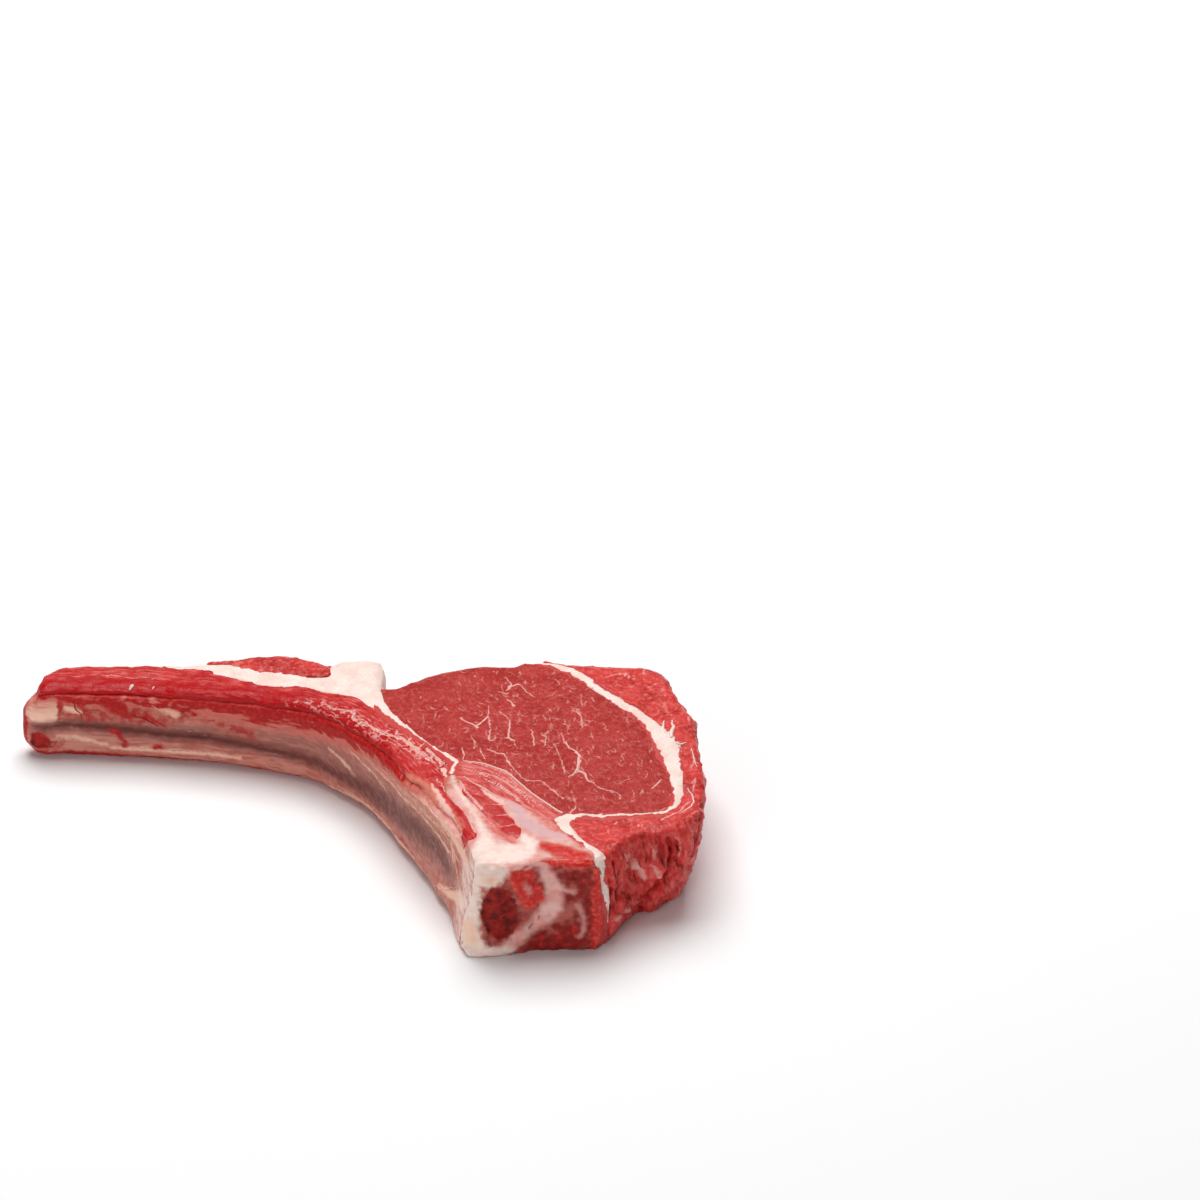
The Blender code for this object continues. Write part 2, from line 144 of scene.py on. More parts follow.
def noise(places, size, seed=0):
    """Smooth noise about -1 to 1; size is one number or one for each axis."""
    p = places / size + seed * 7.31
    cell = np.floor(p).astype(np.int64)
    f = p - cell
    fade = f * f * f * (f * (f * 6 - 15) + 10)
    total = np.zeros(len(p))
    for corner in itertools.product((0, 1), repeat=3):
        at = cell + corner
        h = (at[:, 0] * 374761393 + at[:, 1] * 668265263 + at[:, 2] * 1440662683 + seed) & 0xFFFFFFFF
        h = ((h ^ (h >> 13)) * 1274126177) & 0xFFFFFFFF
        h ^= h >> 16
        turn = (h & 1023) * (2 * math.pi / 1024)
        rise = ((h >> 10) & 1023) / 511.5 - 1
        level = np.sqrt(1 - rise ** 2)
        slope = np.stack([level * np.cos(turn), level * np.sin(turn), rise], axis=1)
        share = np.where(corner, fade, 1 - fade).prod(axis=1)
        total += share * (slope * (f - corner)).sum(axis=1)
    return total * 1.6


def layered(places, size, seed=0, layers=3):
    """Noise with finer noise on top."""
    size = np.asarray(size, dtype=float)
    return sum(noise(places, size / 2 ** k, seed + k) / 2 ** k for k in range(layers))


def rise(value, low, high):
    """0 below low, 1 above high and a smooth step between them."""
    t = np.clip((value - low) / (high - low), 0, 1)
    return t * t * (3 - 2 * t)


def roughen(obj, lift, face=0.12, wall=0.3, grain=(2.2, 2.2, 7.0)):
    """Cut faces softly uneven, walls ridged along the fibres, and the base flat; gives back the corners."""
    p, n = corners_of(obj)
    level = rise(np.abs(n[:, 2]), 0.45, 0.8)
    on_face = face * layered(p, 2.8, 11)
    on_wall = wall * layered(p, grain, 23) + 0.35 * noise(p, (8.0, 8.0, 16.0), 29)
    p = p + n * (lift + level * on_face + (1 - level) * on_wall)[:, None]
    move_to(obj, p, FLOOR_STEP - lift)
    return corners_of(obj)


def rounded(path, spans=5):
    """A finer run through the points of a path."""
    knots = np.array(path, dtype=float)
    knots = np.vstack([2 * knots[0] - knots[1], knots, 2 * knots[-1] - knots[-2]])
    fine = []
    for a, b, c, d in zip(knots, knots[1:], knots[2:], knots[3:]):
        for t in np.arange(spans) / spans:
            fine.append(0.5 * (2 * b + (c - a) * t + (2 * a - 5 * b + 4 * c - d) * t ** 2
                               + (3 * b - a - 3 * c + d) * t ** 3))
    return np.array(fine + [knots[-2]])


def spread_over(count, widths):
    """Widths spread evenly over a number of points."""
    return np.interp(np.linspace(0, 1, count), np.linspace(0, 1, len(widths)), widths)


def strokes(u, v, paths, reach):
    """Millimetres inside the nearest stroke, below 0 outside; a path is (half widths, points)."""
    inside = np.full(len(u), -reach)
    for widths, path in paths:
        line = rounded(path)
        halves = spread_over(len(line), widths)
        room = reach + max(widths)
        for a, b, wa, wb in zip(line, line[1:], halves, halves[1:]):
            low, high = np.minimum(a, b) - room, np.maximum(a, b) + room
            near = np.nonzero((u > low[0]) & (u < high[0]) & (v > low[1]) & (v < high[1]))[0]
            if not len(near):
                continue
            du, dv = u[near] - a[0], v[near] - a[1]
            side = b - a
            t = np.clip((du * side[0] + dv * side[1]) / max(side @ side, 1e-9), 0, 1)
            away = np.hypot(du - t * side[0], dv - t * side[1])
            inside[near] = np.maximum(inside[near], wa + (wb - wa) * t - away)
    return inside


def spots(u, v, ovals, reach):
    """Millimetres inside the nearest oval; an oval is (u, v, half length, half width, turn in degrees)."""
    inside = np.full(len(u), -reach)
    for u0, v0, long, wide, turn in ovals:
        c, s = math.cos(math.radians(turn)), math.sin(math.radians(turn))
        along, across = (u - u0) * c + (v - v0) * s, (v - v0) * c - (u - u0) * s
        inside = np.maximum(inside, (1 - np.hypot(along / long, across / wide)) * min(long, wide))
    return inside


def wobbled(p, amount, size):
    """Two level coordinates, shaken so that drawn strokes run unevenly."""
    return (p[:, 0] + amount * layered(p, size, 41, 2), p[:, 1] + amount * layered(p, size, 51, 2))


def write(obj, **layers):
    """Keep layers of one number a corner, for the material."""
    for name, values in layers.items():
        layer = obj.data.attributes.new(name, "FLOAT", "POINT")
        layer.data.foreach_set("value", np.ascontiguousarray(values, dtype=np.float32))


def write_flow(obj, *coordinates):
    """Keep the coordinates that a grain is drawn out along."""
    layer = obj.data.attributes.new("flow", "FLOAT_VECTOR", "POINT")
    layer.data.foreach_set("vector", np.stack(coordinates, axis=1).astype(np.float32).ravel())


def along(p, path):
    """Millimetres along a path to the place nearest each point, and how far off it each lies."""
    line = rounded(path, 4)
    best = np.full(len(p), 1e9)
    run = np.zeros(len(p))
    off = np.zeros(len(p))
    travelled = 0.0
    for a, b in zip(line, line[1:]):
        side = b - a
        length = np.hypot(*side)
        offset = p[:, :2] - a
        t = np.clip((offset @ side) / length ** 2, 0, 1)
        away = np.hypot(*(offset - t[:, None] * side).T)
        nearer = away < best
        best[nearer] = away[nearer]
        run[nearer] = (travelled + t * length)[nearer]
        off[nearer] = (away * np.sign(side[0] * offset[:, 1] - side[1] * offset[:, 0]))[nearer]
        travelled += length
    return run, off


def lay(tree, kind, inputs=None, **settings):
    """Add a node to a tree; given sockets are linked and given values set."""
    node = tree.nodes.new(kind)
    for key, value in settings.items():
        setattr(node, key, value)
    for key, value in (inputs or {}).items():
        if isinstance(value, bpy.types.NodeSocket):
            tree.links.new(value, node.inputs[key])
        else:
            node.inputs[key].default_value = value
    return node


class Finish:
    """A material in the making: its colour is laid on coat by coat and its relief bump by bump."""

    def __init__(self, name, soft=0.06, shine=0.08):
        self.material = bpy.data.materials.new(name)
        self.material.use_nodes = True
        self.tree = self.material.node_tree
        self.shader = self.tree.nodes["Principled BSDF"]
        self.shader.inputs["Specular IOR Level"].default_value = shine
        self.shader.inputs["Subsurface Weight"].default_value = soft
        self.shader.inputs["Subsurface Radius"].default_value = (1.0, 0.3, 0.2)
        self.shader.inputs["Subsurface Scale"].default_value = 1.2 * MM
        self.place = self.add("TexCoord").outputs["Object"]
        self.colour = self.relief = None

    def add(self, kind, inputs=None, **settings):
        return lay(self.tree, "ShaderNode" + kind, inputs, **settings)

    def times(self, a, b, plus=0.0):
        return self.add("Math", {0: a, 1: b, 2: plus}, operation="MULTIPLY_ADD").outputs[0]

    def field(self, name):
        return self.add("Attribute", attribute_name=name).outputs["Fac"]

    def stretched(self, place, size, unit=1000):
        """A place counted in steps of a size, one for each axis."""
        steps = tuple(unit / s for s in size)
        return self.add("VectorMath", {0: place, 1: steps}, operation="MULTIPLY").outputs[0]

    def at(self, size):
        """The place counted in steps of a size; what is a place already is given back."""
        if isinstance(size, bpy.types.NodeSocket):
            return size
        return self.stretched(self.place, size if isinstance(size, tuple) else (size,) * 3)

    def turned(self, size, degrees):
        turn = {"Vector": self.place, "Angle": math.radians(-degrees)}
        return self.stretched(self.add("VectorRotate", turn, rotation_type="Z_AXIS").outputs[0], size)

    def flow(self, size):
        return self.stretched(self.add("Attribute", attribute_name="flow").outputs["Vector"], size, 1)

    def shaken(self, place, size, amount):
        """A place moved about by noise, so that a regular pattern runs unevenly."""
        cloud = self.cloud(size, 2.0, "Color")
        shift = self.add("VectorMath", {0: cloud, 1: (0.5, 0.5, 0.5)}, operation="SUBTRACT").outputs[0]
        shift = self.add("VectorMath", {0: shift, "Scale": amount}, operation="SCALE").outputs[0]
        return self.add("VectorMath", {0: place, 1: shift}, operation="ADD").outputs[0]

    def cloud(self, size, detail=3.0, out="Fac"):
        inputs = {"Vector": self.at(size), "Scale": 1.0, "Detail": detail}
        return self.add("TexNoise", inputs).outputs[out]

    def cells(self, size, feature="DISTANCE_TO_EDGE"):
        inputs = {"Vector": self.at(size), "Scale": 1.0}
        return self.add("TexVoronoi", inputs, feature=feature).outputs["Distance"]

    def step(self, value, low, high, most=1.0, least=0.0):
        """The least up to low, the most from high on and a smooth step between them."""
        inputs = {"Value": value, "From Min": low, "From Max": high, "To Min": least, "To Max": most}
        return self.add("MapRange", inputs, interpolation_type="SMOOTHSTEP").outputs[0]

    def mix(self, share, a, b):
        a, b = (c if isinstance(c, bpy.types.NodeSocket) else (*c, 1) for c in (a, b))
        return self.add("Mix", {0: share, 6: a, 7: b}, data_type="RGBA").outputs[2]

    def mottled(self, a, b, low, high, size, detail=3.0):
        """One colour with clouds of another in it."""
        return self.mix(self.step(self.cloud(size, detail), low, high), a, b)

    def ragged(self, name, blur, shake, size, most=1.0):
        """Share of a drawn layer, with an uneven edge."""
        shaken = self.times(self.cloud(size), shake * 2, self.field(name))
        return self.step(shaken, shake - blur, shake + blur, most)

    def cover(self, share, coat):
        """Lay a colour over those laid on before."""
        self.colour = self.mix(share, self.colour, coat)

    def dapple(self, coat, low, high, size, most=1.0, detail=3.0):
        """Lay a colour on in clouds."""
        self.cover(self.step(self.cloud(size, detail), low, high, most), coat)

    def paint(self, name, coat, *edge):
        """Lay a colour on where a layer is drawn."""
        self.cover(self.ragged(name, *edge), coat)

    def bump(self, height, depth):
        inputs = {"Height": height, "Strength": 1.0, "Distance": depth * MM}
        if self.relief:
            inputs["Normal"] = self.relief
        self.relief = self.add("Bump", inputs).outputs[0]

    def done(self, wet, dry=None, size=1.5, detail=2.0, band=0.2):
        """Join it all to the shader, with one roughness or with wet and dry patches."""
        self.shader.inputs["Roughness"].default_value = wet
        joined = {"Base Color": self.colour, "Normal": self.relief}
        if dry:
            joined["Roughness"] = self.step(self.cloud(size, detail), 0.5 - band, 0.5 + band, dry, wet)
        for name, socket in joined.items():
            if socket:
                self.tree.links.new(socket, self.shader.inputs[name])
        return self.material


def ease(obj, shares, rounds):
    """Wear down the parts of a surface that have a share, as a worn edge is."""
    group = obj.vertex_groups.new(name="eased")
    shares = np.round(shares, 1)
    for level in np.unique(shares[shares > 0]):
        group.add(np.nonzero(shares == level)[0].tolist(), float(level), "REPLACE")
    soften = obj.modifiers.new("Ease", "SMOOTH")
    soften.iterations = rounds
    soften.vertex_group = "eased"
    settle(obj)
    obj.vertex_groups.clear()


def gap_to(places, others, reach):
    """Millimetres from each place to the nearest of the other nodes, at most the reach."""
    gaps = np.full(len(places), reach)
    for other in others:
        for i, place in enumerate(places):
            near = TREES[other].find_nearest(Vector(place), float(gaps[i]))
            if near[0] is not None:
                gaps[i] = near[3]
    return gaps


def soften_rim(obj, name, rounds):
    """Round the free edges of the upper and lower cut face, where no other piece lies against them."""
    places, normals = corners_of(obj)
    height, steep = places[:, 2], np.abs(normals[:, 2])
    at_edge = np.minimum(height, height.max() - height) < RIM_DEPTH
    rim = np.nonzero(at_edge & (steep > 0.03) & (steep < 0.995))[0]
    shares = np.zeros(len(places))
    shares[rim] = rise(gap_to(places[rim], [n for n in TREES if n != name], 3.0), *RIM_CLEAR)
    ease(obj, shares, rounds)


def films(obj, amount, seed):
    """Thin pale skins on the walls that face away from the cut front, as outer meat carries them."""
    p, n = corners_of(obj)
    hidden = rise(n[:, 1], -0.3, 0.2) * (1 - rise(np.abs(n[:, 2]), 0.5, 0.8))
    streaky = layered(p, (7.0, 7.0, 3.0), seed) + 0.5 * noise(p, (3.0, 3.0, 9.0), seed + 9)
    return np.where(hidden > 0.05, amount * streaky - 0.55 * amount - 2.0 * (1 - hidden), -2.0)


def dress(obj, material, node):
    """Give a skin its material and its place on the body, and hide the node's own solid."""
    obj.data.materials.clear()
    obj.data.materials.append(material)
    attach(obj, "root")
    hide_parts(node)


EYE_FIBRE = (0.46, 0.040, 0.034)
EYE_FIBRE_LIGHT = (0.57, 0.088, 0.078)
EYE_FIBRE_DEEP = (0.37, 0.022, 0.018)
VEIN_FAT = (0.90, 0.52, 0.46)
FLECK_FAT = (0.86, 0.40, 0.35)
EYE_VEINS = [
    ((0.1, 0.22), [(18.7, 10.5), (19.7, 9.1), (21.1, 8), (21.9, 7)]),
    ((0.16, 0.08), [(21.9, 7.7), (23.3, 9.5), (24, 11.4), (24, 14.2)]),
    ((0.1, 0.12), [(24.2, 9.1), (24.4, 6), (24.2, 3), (25.2, 2.8)]),
    ((0.08, 0.18), [(26, 12.1), (27.2, 10.7), (28, 8.9), (28, 6.1), (27.9, 3.6), (28.9, 2.6)]),
    ((0.18, 0.08), [(27.9, 3.6), (26.6, 3.4)]),
    ((0.08, 0.16), [(26.9, 24.1), (28.2, 21.1), (27.3, 19.2)]),
    ((0.16, 0.08), [(27.7, 20.4), (29.7, 21.4), (31, 19.1), (32.6, 16.9)]),
    ((0.08, 0.2), [(27.4, 16.3), (28.3, 15.3), (28.8, 14)]),
    ((0.08, 0.12), [(20.8, 4.3), (21.4, 2.4), (21.4, 0.3)]),
    ((0.14, 0.08), [(19.1, 0.5), (19.6, -1.7), (19.1, -3.7)]),
    ((0.1, 0.12), [(22.5, 0.3), (23, -1.8), (23.6, -3)]),
    ((0.12, 0.1), [(24.1, 0), (25.9, -1.3), (27.2, -2), (27.9, -4.4), (29.2, -6.8), (30.6, -9.1),
        (32.1, -9.9), (34.2, -10.1), (36.4, -12.8), (38.2, -15.2)]),
    ((0.34, 0.16), [(40.8, -6.4), (41.2, -4.1), (41, -1.7), (40.3, -0.3), (39.2, 0.6)]),
    ((0.16, 0.07), [(39.2, 0.6), (38.3, 3.1), (37.8, 5)]),
    ((0.3, 0.07), [(40.8, -6.4), (40.3, -7.5), (39.2, -8.5)]),
    ((0.26, 0.07), [(40.8, -6.4), (42.3, -7.5), (42.8, -9.5), (43.9, -10.1)]),
    ((0.07, 0.09), [(36.5, 1.8), (37.4, -1.9), (38.2, -5.4), (38.5, -7.7)]),
    ((0.07, 0.12), [(40.6, 12.4), (41.5, 10.6), (41.7, 7.4)]),
    ((0.1, 0.12), [(32.2, 6.3), (32.5, 3.5), (32.7, 1)]),
    ((0.09, 0.1), [(34, 5.1), (34.9, 3.6), (34.7, 1.1)]),
    ((0.14, 0.1), [(39.6, -19.1), (40.7, -17.3)]),
    ((0.1, 0.14), [(54.9, -11.6), (55.8, -9.8), (56.5, -8.6)]),
    ((0.1, 0.08), [(43.3, -9.7), (45.4, -12), (48.3, -13.1), (49, -14.8)]),
]
FLECK_SEED = 7
FLECK_COUNT = 900
FLECK_LEAN = -68              # degrees
FLECK_HEART = (37.0, 9.0)
FLECK_SPREAD = (15.0, 16.0)
FLECK_ACROSS = (5, 59)
FLECK_BACK = (-19, 29)
EYE_TOP = 20.5
VEIN_SLANT = (0.12, 0.08)     # drift to the left and towards the front for each millimetre down


def fleck_density(x, y):
    """Where the small flecks of fat lie thick, about 1, and where they are few."""
    u, v = (x - FLECK_HEART[0]) / FLECK_SPREAD[0], (y - FLECK_HEART[1]) / FLECK_SPREAD[1]
    return np.exp(-u ** 2 - v ** 2)


def eye_flecks():
    """Short fine threads of fat, some forked, thickest in the upper right of the eye."""
    draw = np.random.default_rng(FLECK_SEED)
    paths = []
    for _ in range(FLECK_COUNT):
        x, y = draw.uniform(*FLECK_ACROSS), draw.uniform(*FLECK_BACK)
        length, width = draw.uniform(0.5, 2.4), draw.uniform(0.05, 0.11)
        turn = math.radians(FLECK_LEAN) + draw.normal(0, 0.4)
        bend, fork = draw.normal(0, 0.7), draw.uniform()
        if draw.uniform() > 0.22 + 0.78 * fleck_density(x, y):
            continue
        mid = (x + length / 2 * math.cos(turn), y + length / 2 * math.sin(turn))
        end = (mid[0] + length / 2 * math.cos(turn + bend), mid[1] + length / 2 * math.sin(turn + bend))
        paths.append(((width * 0.5, width, width * 0.3), [(x, y), mid, end]))
        if fork > 0.75:
            tip = (mid[0] + length / 3 * math.cos(turn - 1.2), mid[1] + length / 3 * math.sin(turn - 1.2))
            paths.append(((width * 0.9, width * 0.3), [mid, tip]))
    return paths


def eye_finish():
    """Dark red bundles with paler films between them, and the fat threads."""
    f = Finish("eye_lean")
    bundles = f.cells(f.turned((0.5, 1.1, 2.4), FLECK_LEAN))
    f.colour = f.mottled(EYE_FIBRE_DEEP, EYE_FIBRE, 0.38, 0.62, 5.0)
    f.dapple(EYE_FIBRE_LIGHT, 0.42, 0.68, 1.0, 0.7, 4.0)
    f.dapple(EYE_FIBRE_DEEP, 0.50, 0.36, 0.4, 0.8)
    f.cover(f.step(bundles, 0.06, 0.0, 0.30), EYE_FIBRE_LIGHT)
    grains = f.cloud(f.turned((0.8, 0.22, 1.5), FLECK_LEAN))
    f.cover(f.step(f.times(f.field("density"), 0.08, grains), 0.64, 0.82, 0.55), FLECK_FAT)
    net = f.cells(f.shaken(f.turned((2.6, 1.3, 4.0), FLECK_LEAN), 1.2, 0.9))
    broken = f.times(f.step(net, 0.06, 0.015), f.step(f.cloud(1.8, 2.0), 0.49, 0.58))
    f.cover(f.times(broken, f.step(f.field("density"), 0.05, 0.8, 0.7, 0.15)), FLECK_FAT)
    f.paint("fleck", FLECK_FAT, 0.12, 0.06, 0.3, 0.85)
    f.paint("vein", VEIN_FAT, 0.12, 0.06, 0.3)
    f.paint("pale", FLECK_FAT, 0.7, 0.4, 1.2, 0.6)
    f.bump(bundles, 0.05)
    f.bump(f.cloud(0.35, 2.0), 0.06)
    return f.done(0.36, 0.56, 1.2)


eye = fine_skin("eye_muscle", 1.1, smoothing=6)
refine_top(eye)
places, _ = roughen(eye, 0.0, face=0.10, wall=0.25)
depth = np.maximum(EYE_TOP - places[:, 2], 0)
x, y = wobbled(places, 0.22, 0.9)
write(eye, density=fleck_density(x, y), pale=films(eye, 1.3, 91))
x, y = x + VEIN_SLANT[0] * depth, y + VEIN_SLANT[1] * depth
write(eye, vein=strokes(x, y, EYE_VEINS, 0.5), fleck=strokes(x, y, eye_flecks(), 0.5))
dress(eye, eye_finish(), "eye_muscle")

THREAD_STEP = 0.22
THREAD_SIDES = 6


def thread_tree():
    """Threads that wander over a surface: their guide lines are laid on it and given a round section."""
    tree = bpy.data.node_groups.new("threads", "GeometryNodeTree")
    tree.interface.new_socket("Geometry", in_out="OUTPUT", socket_type="NodeSocketGeometry")
    keys = {}
    for label, kind in (("Geometry", "Geometry"), ("Surface", "Object"), ("Material", "Material"),
                        ("Wander", "Float"), ("Wander Size", "Float"), ("Stand", "Float")):
        socket = tree.interface.new_socket(label, in_out="INPUT", socket_type="NodeSocket" + kind)
        keys[label] = socket.identifier
    given = tree.nodes.new("NodeGroupInput").outputs

    def add(kind, inputs, out=0, **settings):
        return lay(tree, kind, inputs, **settings).outputs[out]

    curve = add("GeometryNodeMeshToCurve", {"Mesh": given["Geometry"]})
    even = add("GeometryNodeResampleCurve", {"Curve": curve, "Length": THREAD_STEP * MM}, mode="LENGTH")
    scale = add("ShaderNodeMath", {0: 1.0, 1: given["Wander Size"]}, operation="DIVIDE")
    cloud = add("ShaderNodeTexNoise", {"Scale": scale, "Detail": 2.0}, "Color")
    centred = add("ShaderNodeVectorMath", {0: cloud, 1: (0.5, 0.5, 0.5)}, operation="SUBTRACT")
    shift = add("ShaderNodeVectorMath", {0: centred, "Scale": given["Wander"]}, operation="SCALE")
    moved = add("GeometryNodeSetPosition", {"Geometry": even, "Offset": shift})
    surface = add("GeometryNodeObjectInfo", {"Object": given["Surface"]}, "Geometry",
                  transform_space="RELATIVE")
    near = add("GeometryNodeProximity", {0: surface}, "Position", target_element="FACES")
    normal = add("GeometryNodeInputNormal", {})
    facing = add("GeometryNodeSampleNearestSurface", {"Mesh": surface, "Value": normal},
                 data_type="FLOAT_VECTOR")
    radius = add("GeometryNodeInputNamedAttribute", {"Name": "radius_here"})
    lift = add("ShaderNodeMath", {0: radius, 1: given["Stand"]}, operation="MULTIPLY")
    up = add("ShaderNodeVectorMath", {0: facing, "Scale": lift}, operation="SCALE")
    laid = add("GeometryNodeSetPosition", {"Geometry": moved, "Position": near, "Offset": up})
    ring = add("GeometryNodeCurvePrimitiveCircle", {"Resolution": THREAD_SIDES, "Radius": 1.0}, mode="RADIUS")
    section = {"Curve": laid, "Profile Curve": ring, "Scale": radius, "Fill Caps": True}
    whole = add("GeometryNodeRealizeInstances", {0: add("GeometryNodeCurveToMesh", section)})
    smooth = add("GeometryNodeSetShadeSmooth", {0: whole})
    dressed = add("GeometryNodeSetMaterial", {0: smooth, "Material": given["Material"]})
    tree.links.new(dressed, tree.nodes.new("NodeGroupOutput").inputs[0])
    return tree, keys


THREADS, THREAD_KEYS = thread_tree()


def threads(name, paths, surface, material, wander, wander_size, stand):
    """Threads along paths of (radii, points), lying on a surface; points without a height are on the cut."""
    corners, edges, radii = [], [], []
    for widths, path in paths:
        line = rounded([(*point, CUT_HEIGHT)[:3] for point in path], 4)
        first = len(corners)
        corners += (line * MM).tolist()
        edges += [(first + i, first + i + 1) for i in range(len(line) - 1)]
        radii += (spread_over(len(line), widths) * MM).tolist()
    mesh = bpy.data.meshes.new(name)
    mesh.from_pydata(corners, edges, [])
    obj = placed(name, mesh)
    write(obj, radius_here=radii)
    modifier = obj.modifiers.new("Threads", "NODES")
    modifier.node_group = THREADS
    given = {"Surface": surface, "Material": material, "Wander": wander * MM, "Wander Size": wander_size * MM,
             "Stand": stand}
    for label, value in given.items():
        modifier[THREAD_KEYS[label]] = value
    settle(obj)
    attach(obj, "root")


def thread_finish(name, pale, dark):
    """Moist gristly thread, mottled along its length."""
    f = Finish(name, 0.08, 0.2)
    f.colour = f.mottled(pale, dark, 0.35, 0.7, 0.7)
    f.bump(f.cloud(0.7), 0.04)
    return f.done(0.32, 0.5, 0.7, 3.0)


THREAD_FAT = (0.90, 0.56, 0.50)
BOLD_EYE_THREADS = [          # radii, number of the vein, and the first of its points
    ((0.22, 0.16, 0.12, 0.08), 12, 0),
    ((0.20, 0.08), 14, 0),
    ((0.20, 0.07), 15, 0),
    ((0.07, 0.13, 0.07), 0, 1),
    ((0.07, 0.11, 0.06), 3, 2),
    ((0.06, 0.12, 0.06), 7, 0),
    ((0.06, 0.10, 0.06), 5, 1),
]
fat_thread = thread_finish("fat_thread", THREAD_FAT, VEIN_FAT)
bold_paths = [(radii, EYE_VEINS[vein][1][first:]) for radii, vein, first in BOLD_EYE_THREADS]
threads("eye_threads", bold_paths, eye, fat_thread, 0.3, 1.0, 0.0)

# ---- Seam fat ----------------------------------------------------------------------------------
# The white fat round the outer side of the eye and down beside the vertebra: soft lobules, a little
# proud of the lean. A fine skin over the node's solid.

FAT_WHITE = (0.94, 0.79, 0.72)
FAT_CREAM = (0.90, 0.66, 0.58)
FAT_PINK = (0.80, 0.40, 0.34)
SEAM_RUN = [
    ((0.4, 0.75, 0.95, 0.85, 0.75, 0.85, 1.1, 1.5, 2, 1.7, 1.3, 1.15, 0.9, 0.5, 0.32, 0.28, 0.28, 0.4, 0.7), [
        (33, 29.9), (35.5, 29), (38.2, 27.2), (41.7, 23.8), (44.6, 19.9), (48.4, 15.9), (52.9, 11.8),
        (55.4, 7.5), (57.2, 3.4), (58.3, -0.5), (58.9, -4.5), (59.6, -9), (59.8, -13), (59, -16.8),
        (56.8, -18.9), (53, -19.6), (48, -19.9), (43, -20), (40, -20.6)]),
    ((0.8, 1, 0.8, 0.9, 1.1), [(39.4, -20.4), (38.2, -22.6), (40.4, -25.8), (43.2, -29.6), (45.4, -33.2)]),
    ((0.5, 0.9), [(36.8, -20.9), (38.4, -21.8)]),
    ((0.35, 0.25), [(57, 5.4), (57.2, 8.8)]),
    ((0.4, 0.25), [(58.2, 4.8), (58.8, 9)]),
    ((0.5, 0.4, 0.3), [(58.8, 2.6), (59.9, 2.4), (60.6, 0.4)]),
    ((0.3, 0.5, 0.3), [(60.4, -6.2), (60.9, -9.6), (60.6, -12.6)]),
]
SEAM_END = [
    ((1.1, 0.7, 0.5, 0.55, 0.35, 0.3, 0.1), [(45, 20.4), (45.2, 18), (45.5, 15), (46.3, 12.6), (46.6, 10.4),
        (46.8, 7.6), (46.9, 5)]),
]
BORDER_LEAN = (0.60, 0.05, 0.045)


def fat_finish(name, blush):
    """Waxy white fat in small lobules, blushed, with the neighbours' lean beyond its drawn edge."""
    f = Finish(name, 0.15, 0.2)
    lobules = f.cells(0.9)
    f.colour = f.mottled(FAT_WHITE, FAT_CREAM, 0.35, 0.7, 3.0)
    f.dapple(FAT_PINK, 0.55, 0.8, 0.8, blush)
    f.cover(f.step(lobules, 0.07, 0.0, 0.25), FAT_PINK)
    red = f.mottled(BORDER_LEAN, EYE_FIBRE_LIGHT, 0.42, 0.72, 0.6, 2.4)
    f.colour = f.mix(f.ragged("fat", 0.12, 0.30, 0.8), red, f.colour)
    f.bump(lobules, 0.07)
    f.bump(f.cloud(0.5, 2.0), 0.05)
    return f.done(0.36, 0.55)


def back_border(places, at_back, lean, reach, steep, inset, uneven, size, seed):
    """Millimetres inside the fat at the back, where the lean beside it laps its edges unevenly."""
    inside = np.full(len(places), 2.0)
    inside[at_back] = steep * gap_to(places[at_back], lean, reach) - inset
    return inside + uneven * layered(places, size, seed) * (inside < 1.9)


seam = fine_skin("seam_fat", 0.5, 0.3, 4, 12)
places, normals = roughen(seam, 0.12, face=0.16, grain=(2.4, 2.4, 3.5))
x, y = wobbled(places, 0.45, 1.5)
on_wall = rise(np.abs(normals[:, 2]), 0.8, 0.4)
x_front, z_front = wobbled(places[:, [0, 2, 1]], 0.3, 1.2)
front_fat = np.where((on_wall > 0.5) & (y < -30), strokes(x_front, z_front, SEAM_END, 2.0), 2.0)
back_fat = back_border(places, (y > 24) & (on_wall > 0.5), ("eye_muscle", "cap_muscle"), 2.0,
                       1.3, 0.6, 0.9, (3.0, 3.0, 3.5), 46)
seam_fat = np.maximum(strokes(x, y, SEAM_RUN, 2.0), 0.8 * on_wall - 0.3)
write(seam, fat=np.minimum.reduce([seam_fat, front_fat, back_fat]))
dress(seam, fat_finish("seam_fat", 0.5), "seam_fat")

# ---- Cap muscle --------------------------------------------------------------------------------
# The outer meat, torn rather than cut round its rim: bright red, craggy, with crumbs of fat.

CAP_RED = (0.66, 0.045, 0.040)
CAP_LIGHT = (0.80, 0.135, 0.115)
CAP_DEEP = (0.43, 0.014, 0.012)
LEAN_GRAIN = (0.9, 0.9, 3.0)
LOW_EDGE = 0.05
CRUMB_SEED = 19
CRUMB_COUNT = 160
CRUMB_ACROSS = (34, 66)
CRUMB_BACK = (-25, 31)


